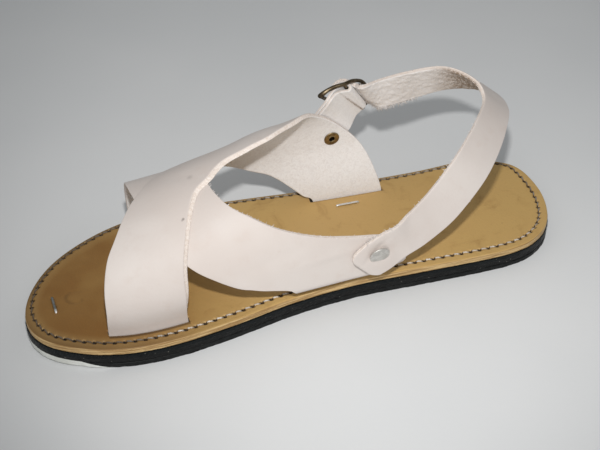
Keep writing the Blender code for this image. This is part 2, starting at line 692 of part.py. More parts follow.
for old in list(bpy.data.objects):
    bpy.data.objects.remove(old, do_unlink=True)

make_sole()
make_staples()
make_upper()
make_ankle_strap()
make_tab()
make_buckle()
make_rivet("rivet_medial", RIVET_MEDIAL, STRAP_THICK + ANKLE_THICK + 5 * FIT_GAP, "rivet_steel")
make_rivet("rivet_lateral", RIVET_LATERAL, STRAP_THICK + 2 * TAB_THICK + 7 * FIT_GAP, "rivet_brass")
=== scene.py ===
"""Looks of the right leather sandal: crossing straps, stitched footbed, rubber sole and fittings.

Metres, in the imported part's frame: +X to the toe, +Y to the medial side, +Z up.
Stations are measured forward from the back of the heel.
"""

import math

import bmesh
import bpy
import numpy as np
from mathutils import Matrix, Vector


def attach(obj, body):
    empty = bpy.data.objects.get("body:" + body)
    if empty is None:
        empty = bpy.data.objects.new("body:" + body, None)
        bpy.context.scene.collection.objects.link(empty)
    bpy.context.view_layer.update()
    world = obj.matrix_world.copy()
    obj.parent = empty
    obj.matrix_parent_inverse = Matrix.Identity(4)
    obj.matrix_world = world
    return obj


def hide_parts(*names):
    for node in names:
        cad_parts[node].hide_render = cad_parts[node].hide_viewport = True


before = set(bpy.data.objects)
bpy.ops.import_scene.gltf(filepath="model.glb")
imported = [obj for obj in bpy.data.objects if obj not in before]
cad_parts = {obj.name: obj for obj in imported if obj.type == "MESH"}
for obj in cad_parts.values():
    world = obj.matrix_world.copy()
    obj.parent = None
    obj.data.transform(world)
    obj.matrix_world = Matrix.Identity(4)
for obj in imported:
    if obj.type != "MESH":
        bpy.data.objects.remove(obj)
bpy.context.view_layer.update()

# Driving sizes, as in the part
LENGTH = 0.2713
OUTSOLE_THICK = 0.0030
MIDSOLE_THICK = 0.0050
INSOLE_THICK = 0.0033
INSOLE_INSET = 0.0004
FIT_GAP = 0.0003
TOE_SPRING = 0.0018
SPRING_START = 0.215
MIDSOLE_TOP = OUTSOLE_THICK + MIDSOLE_THICK
INSOLE_TOP = MIDSOLE_TOP + INSOLE_THICK
STRAP_THICK = 0.0024
SLOT_SEAT = INSOLE_THICK - FIT_GAP
SLOT_INSET = 0.0085
TOE_SLOT_SHIFT = 0.0033
TOE_SLOT_START = 0.160
TOE_SLOT_BLEND = 0.030
SLOT_GAP = 0.0006
TUCK_HEIGHT = 0.009
TOE_TUCK_HEIGHT = 0.026
LATERAL_TUCK_HEIGHT = 0.032
ANKLE_THICK = 0.0022
TAB_THICK = 0.0016
WIRE_RADIUS = 0.00095
BAR_RADIUS = 0.0008
PRONG_RADIUS = 0.0008
STAPLE_RADIUS = 0.00045
STAPLE_RISE = 0.0007
STAPLE_FLAT = 1.35
STAPLE_LEG = 0.0025
RIVET_OVERHANG = 0.0005

# Plan of the sole before its ends are rounded: station, centre line, half width
PLAN = (
    (0.0000, -0.0080, 0.0360),
    (0.0080, -0.0030, 0.0360),
    (0.0200, -0.0003, 0.0360),
    (0.0400, 0.0007, 0.0360),
    (0.0800, -0.0014, 0.0361),
    (0.1200, -0.0042, 0.0365),
    (0.1500, -0.0052, 0.0393),
    (0.1800, -0.0042, 0.0430),
    (0.2100, -0.0023, 0.0448),
    (0.2400, 0.0014, 0.0455),
    (0.2550, 0.0036, 0.0455),
    (0.2713, 0.0080, 0.0455),
)
# Fullness of the lateral edge beyond that plan: station, extra half width
LATERAL_FULL = (
    (0.0000, 0.0036),
    (0.0250, 0.0032),
    (0.0600, 0.0021),
    (0.1200, 0.0015),
    (0.1700, 0.0018),
    (0.2200, 0.0029),
    (0.2713, 0.0034),
)
HEEL_ROUND = 0.042
HEEL_POWER = 2.35
TOE_ROUND = 0.075
TOE_POWER = 1.95

# Last over the footbed: station, centre line, half width, instep height, squareness
LAST = (
    (0.075, -0.0005, 0.0350, 0.0760, 2.6),
    (0.110, -0.0010, 0.0365, 0.0700, 2.6),
    (0.140, -0.0015, 0.0375, 0.0620, 2.4),
    (0.165, -0.0020, 0.0385, 0.0540, 2.3),
    (0.190, -0.0025, 0.0390, 0.0465, 2.2),
    (0.215, -0.0030, 0.0380, 0.0390, 2.1),
    (0.240, -0.0020, 0.0340, 0.0320, 2.1),
)

# The lateral side of the last is squarer behind the ball, where the strap stands upright
LATERAL_SQUARE = 0.6
LATERAL_END = 0.175
LATERAL_BLEND = 0.035

# Over strap, medial toe to lateral heel. Each row is one cut across the strap:
# front station, front angle round the last, rear station, rear angle, front lift, rear lift
OVER_STRAP = (
    (0.2365, 0.0, 0.2005, 0.0, 0.0, 0.0),
    (0.2365, 10.0, 0.2010, 10.0, 0.0, 0.0),
    (0.2363, 24.0, 0.2010, 24.0, 0.3, 0.3),
    (0.2352, 42.0, 0.1998, 40.0, 0.8, 0.8),
    (0.2310, 60.0, 0.1960, 56.0, 0.9, 0.9),
    (0.2250, 73.0, 0.1915, 70.5, 0.9, 0.9),
    (0.2170, 88.5, 0.1860, 82.5, 0.9, 0.9),
    (0.2070, 103.5, 0.1790, 88.0, 0.9, 0.9),
    (0.1950, 121.0, 0.1690, 94.7, 0.9, 0.9),
    (0.1810, 133.5, 0.1566, 96.3, 0.9, 0.5),
    (0.1658, 146.9, 0.1433, 99.0, 0.4, -0.2),
    (0.1497, 162.7, 0.1304, 112.5, 0.1, -1.1),
    (0.1378, 169.7, 0.1166, 135.5, 0.0, -0.35),
    (0.1289, 175.2, 0.1031, 152.6, 0.0, 0.0),
    (0.1225, 178.3, 0.0897, 166.7, 0.0, 0.0),
    (0.1180, 179.2, 0.0821, 176.5, 0.0, 0.0),
    (0.1160, 180.0, 0.0790, 180.0, 0.0, 0.0),
)

# Under strap, medial heel to lateral toe, same columns
UNDER_STRAP = (
    (0.1425, 0.0, 0.1210, 0.0, 0.0, 0.0),
    (0.1460, 4.0, 0.1165, 3.6, 0.0, 0.0),
    (0.1500, 7.1, 0.1050, 5.2, 0.0, 0.0),
    (0.1545, 9.4, 0.0950, 7.0, 0.0, 0.0),
    (0.1605, 11.5, 0.1000, 15.6, 0.0, 0.0),
    (0.1680, 14.3, 0.1220, 23.0, 0.0, 0.0),
    (0.1775, 19.7, 0.1400, 30.8, 0.0, 0.0),
    (0.1870, 28.0, 0.1555, 42.0, 0.0, 0.0),
    (0.1950, 37.0, 0.1665, 55.0, 0.0, 0.0),
    (0.2015, 49.0, 0.1740, 66.5, 0.0, 0.0),
    (0.2075, 66.0, 0.1780, 79.0, 0.0, 0.0),
    (0.2105, 86.0, 0.1795, 93.0, 0.2, 0.0),
    (0.2115, 107.0, 0.1800, 110.0, 1.0, 0.0),
    (0.2112, 130.0, 0.1800, 130.0, 2.1, 0.1),
    (0.2110, 155.0, 0.1795, 155.0, 0.9, 0.1),
    (0.2105, 172.0, 0.1785, 172.0, 0.0, 0.0),
    (0.2100, 180.0, 0.1780, 180.0, 0.0, 0.0),
)

# Sling-back strap from the medial rivet round the heel to its free tip.
# Each row is one cut across it: lower edge x, y, z and upper edge x, y, z
ANKLE_STRAP = (
    (0.1124, 0.0392, 0.0187, 0.1250, 0.0390, 0.0320),
    (0.1040, 0.0391, 0.0221, 0.1183, 0.0385, 0.0375),
    (0.0955, 0.0394, 0.0275, 0.1089, 0.0378, 0.0424),
    (0.0850, 0.0374, 0.0306, 0.0979, 0.0346, 0.0452),
    (0.0674, 0.0325, 0.0383, 0.0815, 0.0275, 0.0516),
    (0.0483, 0.0240, 0.0529, 0.0651, 0.0212, 0.0652),
    (0.0306, 0.0050, 0.0612, 0.0490, 0.0070, 0.0712),
    (0.0212, -0.0130, 0.0614, 0.0376, -0.0075, 0.0724),
    (0.0250, -0.0290, 0.0618, 0.0372, -0.0190, 0.0757),
    (0.0400, -0.0380, 0.0607, 0.0480, -0.0305, 0.0786),
    (0.0600, -0.0400, 0.0580, 0.0660, -0.0345, 0.0775),
    (0.0745, -0.0408, 0.0560, 0.0790, -0.0385, 0.0735),
)
# The same strap through the buckle to its tip:
# distance from the bar, step outward, reach of the lower edge, reach of the upper edge
ANKLE_DRAWN = (
    (0.0064, -0.0030, 0.0172, 0.0050),
    (0.0043, 0.0009, 0.0154, 0.0040),
    (0.0018, 0.0039, 0.0118, 0.0082),
    (-0.0010, 0.0047, 0.0090, 0.0102),
    (-0.0040, 0.0046, 0.0075, 0.0102),
    (-0.0062, 0.0044, 0.0060, 0.0085),
    (-0.0072, 0.0043, 0.0040, 0.0060),
)
LAID_START = 0.0930
LAID_LENGTH = 0.0125

# Rivets through the straps: station, angle round the last
RIVET_MEDIAL = (0.1105, 13.4)
RIVET_LATERAL = (0.1055, 160.2)
MEDIAL_STACK = STRAP_THICK + ANKLE_THICK + 5 * FIT_GAP
LATERAL_STACK = STRAP_THICK + 2 * TAB_THICK + 7 * FIT_GAP
# Rivet turned about its axis: radius, share of the stack, step beyond the stack
RIVET_PROFILE = (
    (0.0000, 1.0, 0.00050),
    (0.0020, 1.0, 0.00050),
    (0.0036, 1.0, 0.00047),
    (0.0041, 1.0, 0.00040),
    (0.0043, 1.0, 0.00034),
    (0.0046, 1.0, 0.00038),
    (0.0048, 1.0, 0.00034),
    (0.0049, 1.0, 0.00018),
    (0.0049, 1.0, -0.00030),
    (0.0017, 1.0, -0.00035),
    (0.0017, 0.0, -0.00005),
    (0.0037, 0.0, -0.00010),
    (0.0039, 0.0, -0.00020),
    (0.0040, 0.0, -0.00045),
    (0.0039, 0.0, -0.00066),
    (0.0036, 0.0, -0.00078),
    (0.0032, 0.0, -0.00078),
    (0.0024, 0.0, -0.00066),
    (0.0020, 0.0, -0.00072),
    (0.0018, 0.0, -0.00090),
    (0.0016, 0.0, -0.00094),
    (0.0015, 0.0, -0.00080),
    (0.0014, 0.0, -0.00045),
    (0.0013, 0.0, -0.00026),
    (0.0000, 0.0, -0.00022),
)
HOLLOW_RADIUS = 0.00145
RIVET_DROOP = 0.34

# Buckle: middle of its bar, bar direction, direction the strap is drawn in
BUCKLE_CENTRE = (0.0928, -0.0407, 0.0662)
BAR_AXIS = (-0.531, -0.291, -0.796)
DRAW_AXIS = (-0.780, 0.0, 0.620)
# Frame, a bent wire loop: x, y, z from the toe end of its upper rail round the heel side
FRAME_LOOP = (
    (0.1108, -0.0378, 0.0716),
    (0.1074, -0.0371, 0.0743),
    (0.1036, -0.0370, 0.0756),
    (0.0988, -0.0372, 0.0760),
    (0.0933, -0.0397, 0.0752),
    (0.0873, -0.0426, 0.0717),
    (0.0828, -0.0442, 0.0656),
    (0.0797, -0.0468, 0.0610),
    (0.0803, -0.0476, 0.0566),
    (0.0840, -0.0466, 0.0546),
    (0.0885, -0.0477, 0.0532),
    (0.0970, -0.0469, 0.0570),
    (0.1050, -0.0448, 0.0636),
    (0.1096, -0.0410, 0.0688),
)
BAR_ENDS = ((0.0992, -0.0372, 0.0758), (0.0846, -0.0452, 0.0539))
# Folded tab, one panel from its lower end to the bar:
# distance from the bar, step off the middle, reach of the toe edge, reach of the heel edge
TAB_PANEL = (
    (-0.0280, 0.00095, 0.0030, 0.0190),
    (-0.0206, 0.00095, 0.0066, 0.0174),
    (-0.0151, 0.00095, 0.0100, 0.0160),
    (-0.0113, 0.00100, 0.0124, 0.0151),
    (-0.0080, 0.00115, 0.0132, 0.0143),
    (-0.0040, 0.00145, 0.0120, 0.0134),
    (0.0000, 0.00190, 0.0085, 0.0124),
)
SLIT_START = -0.0040
SLIT_END = -0.0006
SLIT_WIDE = 0.00042
SLIT_DEEP = 0.00030
TAB_LAID_START = 0.004
TAB_LAID_LENGTH = 0.010
PRONG_PLACE = 0.0045
# Prong from the bar over the frame: distance from the bar, step outward
PRONG_PATH = (
    (0.0002, 0.0020),
    (0.0006, 0.0046),
    (0.0018, 0.0063),
    (0.0044, 0.0058),
    (0.0068, 0.0045),
    (0.0086, 0.0037),
)

# Staples in the footbed: station and side of one leg, then of the other leg
STAPLES = {
    "staple_toe": (0.2571, -0.0030, 0.2569, 0.0070),
    "staple_waist": (0.1063, -0.0238, 0.0949, -0.0232),
}
# One staple from leg to leg: share of the way across, height over the footbed
STAPLE_PATH = (
    (0.00, -STAPLE_LEG),
    (0.00, -0.4 * STAPLE_LEG),
    (0.00, 0.3 * STAPLE_RISE),
    (0.05, STAPLE_RISE),
    (0.50, STAPLE_RISE),
    (0.95, STAPLE_RISE),
    (1.00, 0.3 * STAPLE_RISE),
    (1.00, -0.4 * STAPLE_LEG),
    (1.00, -STAPLE_LEG),
)

# Stitching round the footbed
STITCHES = 130
STITCH_INSET = 0.0048
STITCH_LATERAL = 0.0023
STITCH_BAND = 0.0012
# Painted shade along the footbed's edge where the stitches run close to it
EDGE_SHADE = 0.33
# Painted shadow under the straps where they overhang their slots: strength, step outward, width
SLOT_SHADE = 0.50
SLOT_SHADE_OUT = 0.0007
SLOT_SHADE_WIDE = 0.0009
HOLE_LONG = 0.00130
HOLE_WIDE = 0.00104
RIM_BLEND = 0.0100
HOLE_SLANT = 0.45
HOLE_DEPTH = 0.0017
PLY_RADIUS = 0.00025
THREAD_SLANT = 0.00048
THREAD_RISE = 0.00042

# Small dark marks on the straps, and painted shade in place of punched holes: place, size, strength
STRAP_MARKS = (
    ((0.0598, 0.0189, 0.0577), 0.0010, 0.80),
    ((0.0602, 0.0189, 0.0566), 0.0010, 0.80),
    ((0.0508, -0.0021, 0.0635), 0.0022, 0.22),
    ((-0.0601, -0.0368, 0.0609), 0.0016, 0.85),
    ((-0.0763, -0.0346, 0.0646), 0.0016, 0.85),
)
RING_MARK = (0.1112, 0.0032, 0.0118)
RING_RADIUS = 0.0042
RING_WIDE = 0.0016

# Photo's camera
CAMERA_PLACE = (0.136346, 0.390585, 0.369593)
CAMERA_TURN = (50.0, 0.0, 160.5)
CAMERA_LENS = 66.0
SENSOR_WIDTH = 36.0

# Studio light
KEY_PLACE = (0.1138, 0.3265, 0.4240)
KEY_AIM = (-0.060, -0.037, 0.0)
KEY_RADIUS = 0.011
KEY_POWER = 7.75
KEY_CONE = 58.0
FRONT_PLACE = (0.300, 0.850, 0.200)
FRONT_AIM = (0.0, 0.0, 0.035)
FRONT_RADIUS = 0.22
FRONT_POWER = 5.6
FRONT_CONE = 60.0
FILL = 0.350
KEY_COLOUR = (1.0, 0.99, 0.975)
FRONT_COLOUR = (1.0, 0.985, 0.97)
SKY_COLOUR = (0.97, 0.99, 1.0, 1.0)

# Mesh fineness
EDGE_SAMPLES = 1600
EDGE_ROUND = 0.0005
STRAP_STEPS = 230
STRAP_COLUMNS = 40
ANKLE_STEPS = 330
ANKLE_COLUMNS = 24
TAB_STEPS = 46
TAB_COLUMNS = 22
FOLD_STEPS = 20
WALL_STEPS = 4
SOLE_STEPS = 1150
SEED = 7
PLAN_SAMPLES = 541
CUT_SAMPLES = 45
STATION_STEP = 0.0002
ANGLE_STEP = 0.4
LINE_STEP = 0.0015
THREAD_STEPS = 19
THREAD_SIDES = 6
STAPLE_STEPS = 49
STAPLE_SIDES = 14
FRAME_STEPS = 168
FRAME_SIDES = 18
BAR_STEPS = 25
BAR_SIDES = 16
PRONG_STEPS = 41
RIVET_SIDES = 56
FLOOR_HALF = 3.0
FLOOR_STEPS = 24

# Weights of the repeatable noise
HASH_WEIGHTS = (127.1, 311.7, 74.7)
HASH_SEED = 19.19
HASH_SCALE = 43758.5453

# Columns at a strap's edge and the first one beyond them, counted in edge roundings
EDGE_SHARES = (0.0, 0.06, 0.18, 0.36, 0.60, 1.0, 1.7)
EDGE_INNER = 2.6
INNER_COLUMN = 8

# Leather surface: size of its fibres, roughness of the flesh, ragged wall, fade of the cut edge
FIBRE_SIZES = (0.0011, 0.0005)
FLESH_ROUGH = 0.00006
RAGGED_DEEP = 0.00010
RAGGED_SIZE = 0.0009
CUT_FADE = 0.00035
# Loose fibres: spread over the edge, shift along it, depth of their roots, thinnest and thickest
FUZZ_SPREAD = 0.0009
FUZZ_SHIFT = 0.0004
FUZZ_ROOT = 0.0003
FUZZ_THIN = 0.00011
FUZZ_THICK = 0.00026

# Creases: start along, start across, end along, end across, width, depth
OVER_CREASES = (
    (0.030, 0.004, 0.036, 0.020, 0.0035, 0.00022),
    (0.052, 0.010, 0.060, 0.030, 0.0050, -0.00020),
    (0.078, 0.006, 0.082, 0.026, 0.0040, 0.00025),
    (0.110, 0.012, 0.118, 0.030, 0.0060, 0.00030),
    (0.140, 0.006, 0.150, 0.026, 0.0050, -0.00022),
)
UNDER_CREASES = (
    (0.018, 0.008, 0.026, 0.030, 0.0045, 0.00028),
    (0.036, 0.010, 0.048, 0.026, 0.0060, -0.00025),
    (0.060, 0.004, 0.066, 0.030, 0.0050, 0.00022),
)
ANKLE_CREASES = (
    (0.0020, 0.0120, 0.0200, 0.0160, 0.0012, 0.00030),
    (0.0180, 0.0020, 0.0230, 0.0160, 0.0030, 0.00035),
    (0.1180, 0.0020, 0.1240, 0.0170, 0.0030, 0.00030),
    (0.1280, 0.0020, 0.1310, 0.0170, 0.0028, -0.00030),
    (0.1900, 0.0030, 0.1960, 0.0150, 0.0028, 0.00045),
    (0.1980, 0.0040, 0.2040, 0.0160, 0.0026, -0.00035),
)
# Height over which a strap comes free of its slot, and depth and size of its waves
FREE_HEIGHT = 0.008
STRAP_WAVE = 0.00012
STRAP_WAVE_SIZE = 0.014
ANKLE_WAVE = 0.00014
ANKLE_WAVE_SIZE = 0.011
TAB_WAVE = 0.00006
TAB_WAVE_SIZE = 0.008
# Oblique cut of the rear edges: step of each, height it needs, width it takes,
# share of the strap where it eases off, how far on and by how much
OVER_OBLIQUE = 0.0017
UNDER_OBLIQUE = 0.0004
OBLIQUE_HEIGHT = 0.024
OBLIQUE_WIDE = 0.003
OBLIQUE_EASE = 0.46
OBLIQUE_BLEND = 0.20
OBLIQUE_LOSS = 0.85
# Reach of the raw fibres on each edge, the last one more where the strap is drawn through
OVER_FUZZ = 0.0008
UNDER_FUZZ = 0.0016
ANKLE_UPPER_FUZZ = 0.0019
ANKLE_LOWER_FUZZ = 0.0010
DRAWN_FUZZ = 0.0022

# Ankle strap: width for its edges, rounded first end, middle of its loop
ANKLE_WIDE = 0.0195
ANKLE_CORNER = 0.0045
CORNER_BLEND = 0.014
LOOP_MIDDLE = (0.070, 0.0, 0.045)
ANKLE_ROUGH = 0.00030
# Dent under the medial rivet's head: depth, radius, reach along the strap
RIVET_DENT = 0.00030
DENT_RADIUS = 0.0056
DENT_REACH = 0.03
# Wear and painted shade on the flesh side round the heel: strength, start, blend in, end, blend out
HEEL_WEAR_AND_SHADE = (0.95, 0.120, 0.014, 0.164, 0.022)
# Wear on to the tip: strength, start, blend in
TIP_WEAR = (0.25, 0.150, 0.020)

# Sole: edge roundings, rings of the footbed's face, ends of the middle line
RUBBER_BEVEL = 0.00035
FOOTBED_BEVEL = 0.0006
BORDER_STEP = 0.00006
FACE_START = 0.0008
FACE_INSETS = (0.0060, 0.0066, 0.0077, 0.0101, 0.0112, 0.0134)
SPINE_START = 0.045
SPINE_END = 0.222
THREAD_SINK = 0.0002
THREAD_DIVE = 0.0019
STAPLE_SINK = 0.0003
# Dents in the footbed's face, depth and width: stitch groove, under the staples, worn ring
GROOVE_DEEP = 0.00022
GROOVE_WIDE = 0.0007
STAPLE_DENT = 0.00050
STAPLE_DENT_WIDE = 0.0011
# Width of the painted shadow outline round each staple
STAPLE_SHADE_WIDE = 0.00095
RING_DEEP = 0.00012
RING_EDGE = 0.0008
SLOT_DEEP = 0.95 * INSOLE_THICK
# Inset that stands for any place well inside the slots
WELL_INSIDE = 0.02
# Undyed wall of the pale layer: height, start and blend at the toe, then at the heel
BARE_TOE = 0.0034
BARE_TOE_MEDIAL = 0.234
BARE_TOE_LATERAL = 0.245
BARE_TOE_BLEND = 0.024
BARE_HEEL = 0.0022
BARE_HEEL_END = 0.010
BARE_HEEL_BLEND = 0.008


def smooth_column(table, column, at):
    """Smooth value of one table column at positions along its first column."""
    rows = np.array(table, float)
    keys, values = rows[:, 0], rows[:, column]
    slopes = np.gradient(values, keys)
    at = np.clip(np.asarray(at, float), keys[0], keys[-1])
    low = np.clip(np.searchsorted(keys, at) - 1, 0, len(keys) - 2)
    span = keys[low + 1] - keys[low]
    t = (at - keys[low]) / span
    start = (2 * t**3 - 3 * t**2 + 1) * values[low] + (t**3 - 2 * t**2 + t) * span * slopes[low]
    end = (3 * t**2 - 2 * t**3) * values[low + 1] + (t**3 - t**2) * span * slopes[low + 1]
    return start + end


def cuts_at(table, share):
    """Every column of a table of cuts at shares of the way from its first to its last row."""
    keyed = [(index,) + tuple(row) for index, row in enumerate(table)]
    at = np.asarray(share, float) * (len(table) - 1)
    return np.stack([smooth_column(keyed, c + 1, at) for c in range(len(table[0]))], axis=-1)


def ease(value):
    """Soft step from 0 to 1."""
    t = np.clip(value, 0.0, 1.0)
    return t * t * (3 - 2 * t)


def unit(vectors):
    """Vectors of length 1."""
    vectors = np.asarray(vectors, float)
    return vectors / np.maximum(np.linalg.norm(vectors, axis=-1, keepdims=True), 1e-12)


def run_length(path):
    """Distance along a path at each of its points."""
    return np.concatenate([[0], np.cumsum(np.linalg.norm(np.diff(path, axis=0), axis=1))])


def raised(points, height):
    """Plan points, each with its height."""
    return np.concatenate([points, np.broadcast_to(height, len(points))[:, None]], axis=1)


def circle(sides):
    """Angles evenly round a circle."""
    return np.linspace(0, 2 * math.pi, sides, endpoint=False)


def soft_noise(points, size, seed=0):
    """Repeatable smooth noise from -1 to 1 with features of a given size."""
    scaled = np.asarray(points, float) / size
    cell = np.floor(scaled)
    t = ease(scaled - cell)
    total = np.zeros(scaled.shape[:-1])
    for corner in np.ndindex(2, 2, 2):
        place = (cell + corner) @ np.array(HASH_WEIGHTS) + seed * HASH_SEED
        value = np.mod(np.sin(place) * HASH_SCALE, 1.0)
        total += np.prod(np.where(corner, t, 1 - t), axis=-1) * value
    return total * 2 - 1


def end_rounding(station):
    """Share of the half width left by the rounded ends."""
    heel = np.clip(1 - station / HEEL_ROUND, 0, 1)
    toe = np.clip(1 - (LENGTH - station) / TOE_ROUND, 0, 1)
    heel_part = (1 - heel**HEEL_POWER) ** (1 / HEEL_POWER)
    return heel_part * (1 - toe**TOE_POWER) ** (1 / TOE_POWER)


def lateral_full(station, side):
    """Extra half width of the sole on its lateral side."""
    extra = smooth_column(LATERAL_FULL, 1, station) * end_rounding(station)
    return np.where(np.asarray(side) < 0, extra, 0.0)


def edge_side(station, side):
    """Side position of the sole's edge, side +1 medial or -1 lateral."""
    half = smooth_column(PLAN, 2, station) * end_rounding(station) + lateral_full(station, side)
    return smooth_column(PLAN, 1, station) + side * half


def slot_inset(station, side):
    """Depth of a strap's slot from the sole's edge, more for the front medial slot."""
    toe_part = ease((np.asarray(station) - TOE_SLOT_START) / TOE_SLOT_BLEND)
    toe_shift = TOE_SLOT_SHIFT * toe_part * np.where(np.asarray(side) > 0, 1.0, 0.0)
    return SLOT_INSET + toe_shift + lateral_full(station, side)


def spring(station):
    """Lift of the whole stack towards the toe."""
    reach = np.clip((station - SPRING_START) / (LENGTH - SPRING_START), 0, 1)
    return TOE_SPRING * reach**2


SAMPLES = np.linspace(0.0, LENGTH, PLAN_SAMPLES)
SIDE_MIDDLE = (edge_side(SAMPLES, 1).max() + edge_side(SAMPLES, -1).min() + RIVET_OVERHANG) / 2
TO_ORIGIN = np.array([-LENGTH / 2, -SIDE_MIDDLE, 0.0])


def section_power(station, side):
    """Power of the last's rounded section on its medial (+1) or lateral (-1) side."""
    upright = ease((LATERAL_END - np.asarray(station)) / LATERAL_BLEND)
    lateral = np.where(np.asarray(side) < 0, LATERAL_SQUARE, 0.0)
    return 2 / (smooth_column(LAST, 4, station) + lateral * upright)


def last_point(station, angle):
    """Point on the last, angle 0 at the medial slot and 180 at the lateral slot."""
    centre = smooth_column(LAST, 1, station)
    half = smooth_column(LAST, 2, station)
    height = smooth_column(LAST, 3, station)
    turn = np.radians(np.clip(angle, 0.0, 180.0))
    across, rise = np.cos(turn), np.clip(np.sin(turn), 0.0, 1.0)
    side = np.where(across >= 0, 1.0, -1.0)
    power = section_power(station, side)
    up = -SLOT_SEAT + (height + SLOT_SEAT) * rise**power
    free_side = centre + half * side * np.abs(across) ** power
    slot_side = edge_side(station, side) - side * slot_inset(station, side)
    toeward = ease((station - TOE_SLOT_START) / TOE_SLOT_BLEND)
    medial_tuck = TUCK_HEIGHT + (TOE_TUCK_HEIGHT - TUCK_HEIGHT) * toeward
    freed = ease(up / np.where(side > 0, medial_tuck, LATERAL_TUCK_HEIGHT))
    y = slot_side + (free_side - slot_side) * freed
    return np.stack([station, y, INSOLE_TOP + spring(station) + up], axis=-1)


def last_normal(station, angle):
    """Outward direction of the last at a point."""
    near, far = np.clip(angle - ANGLE_STEP, 0.0, 180.0), np.clip(angle + ANGLE_STEP, 0.0, 180.0)
    along = last_point(station + STATION_STEP, angle) - last_point(station - STATION_STEP, angle)
    round_it = last_point(station, far) - last_point(station, near)
    return unit(np.cross(round_it, along))


def last_side(station, height, side):
    """Side position of the last at a height above the floor."""
    instep = smooth_column(LAST, 3, station) + SLOT_SEAT
    power = section_power(station, side)
    up = np.clip((height - INSOLE_TOP + SLOT_SEAT) / instep, 0.0, 1.0)
    turn = np.degrees(np.arcsin(up ** (1 / power)))
    angle = turn if side > 0 else 180.0 - turn
    return last_point(station, angle)[..., 1]


def buckle_point(along_bar, drawn, off):
    """Point in the buckle's own directions: along its bar, along the strap, outward."""
    bar = unit(BAR_AXIS)
    draw = unit(np.array(DRAW_AXIS) - bar * np.dot(DRAW_AXIS, bar))
    outward = unit(np.cross(bar, draw))
    outward = outward * (-1.0 if outward[1] > 0 else 1.0)
    centre = np.array(BUCKLE_CENTRE) + TO_ORIGIN
    along_bar, drawn, off = (np.asarray(v, float)[..., None] for v in (along_bar, drawn, off))
    return centre + along_bar * bar + drawn * draw + off * outward


def rivet_axis(place):
    """Start on the inside of the strap and outward direction."""
    station, angle = (np.array([v]) for v in place)
    start = (last_point(station, angle) + TO_ORIGIN)[0]
    return start, last_normal(station, angle)[0]


# Meshes


def add_piece(name, vertices, faces, material, stands_for, values=None, weld=False):
    """Smooth closed mesh that rides on the part, with named values on its points for the material."""
    mesh = bpy.data.meshes.new(name)
    mesh.from_pydata(np.asarray(vertices).tolist(), [], [tuple(f) for f in faces])
    for key, value in (values or {}).items():
        layer = mesh.attributes.new(key, "FLOAT", "POINT")
        layer.data.foreach_set("value", np.asarray(value, np.float32).ravel())
    build = bmesh.new()
    build.from_mesh(mesh)
    if weld:
        bmesh.ops.remove_doubles(build, verts=build.verts, dist=1e-6)
        bmesh.ops.dissolve_degenerate(build, edges=build.edges, dist=1e-7)
    bmesh.ops.recalc_face_normals(build, faces=build.faces)
    for face in build.faces:
        face.smooth = True
    build.to_mesh(mesh)
    build.free()
    mesh.materials.append(material)
    piece = bpy.data.objects.new(name, mesh)
    bpy.context.scene.collection.objects.link(piece)
    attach(piece, "root")
    if stands_for:
        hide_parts(stands_for)
    return piece


def quads(rows, columns, wrap=False, offset=0):
    """Faces of a grid of points in rows, closed round its columns if wrapped."""
    across = columns if wrap else columns - 1
    r, c = np.meshgrid(np.arange(rows - 1), np.arange(across), indexing="ij")
    d = (c + 1) % columns
    row, after = r * columns, (r + 1) * columns
    made = np.stack([row + c, row + d, after + d, after + c], axis=-1)
    return (made.reshape(-1, 4) + offset).tolist()


def tube(path, radii, sides, closed=False):
    """Points and faces of round wire along a path."""
    path = np.asarray(path, float)
    radii = np.broadcast_to(radii, len(path))
    if closed:
        tangents = unit(np.roll(path, -1, axis=0) - np.roll(path, 1, axis=0))
    else:
        tangents = unit(np.gradient(path, axis=0))
    hint = unit(np.cross(tangents[0], tangents[len(tangents) // 3]) + 1e-6)
    first = unit(hint - tangents * (tangents @ hint)[:, None])
    second = np.cross(tangents, first)
    turns = circle(sides)[None, :, None]
    section = np.cos(turns) * first[:, None] + np.sin(turns) * second[:, None]
    points = (path[:, None] + radii[:, None, None] * section).reshape(-1, 3)
    faces = quads(len(path), sides, wrap=True)
    if closed:
        last = (len(path) - 1) * sides
        faces += [(last + c, last + (c + 1) % sides, (c + 1) % sides, c) for c in range(sides)]
    else:
        faces += [tuple(range(sides)), tuple(range((len(path) - 1) * sides, len(path) * sides))]
    return points, faces


def joined(parts):
    """One list of points and faces from several."""
    points, faces, offset = [], [], 0
    for more_points, more_faces in parts:
        points.append(more_points)
        faces += [tuple(i + offset for i in face) for face in more_faces]
        offset += len(more_points)
    return np.concatenate(points), faces


def edge_columns(count, width):
    """Shares across a strap, close together at its two rounded edges."""
    near = np.array(EDGE_SHARES) * EDGE_ROUND / width
    start = EDGE_INNER * EDGE_ROUND / width
    inner = np.linspace(start, 1 - start, count)
    return np.concatenate([near, inner, 1 - near[::-1]])


def grid_normal(grid):
    """Direction off a grid of points, either way."""
    return unit(np.cross(np.gradient(grid, axis=0), np.gradient(grid, axis=1)))


def trough(along, across, creases):
    """Height of soft troughs and ridges: each from one place to another, with a width and a depth."""
    height = np.zeros(np.broadcast(along, across).shape)
    for a0, c0, a1, c1, wide, deep in creases:
        run = np.array([a1 - a0, c1 - c0])
        t = ((along - a0) * run[0] + (across - c0) * run[1]) / (run @ run)
        t = np.clip(t, 0, 1)
        gap = np.hypot(along - a0 - t * run[0], across - c0 - t * run[1])
        fade = 0.35 + 0.65 * np.sin(math.pi * t)
        height -= deep * fade * np.exp(-((gap / wide) ** 2))
    return height


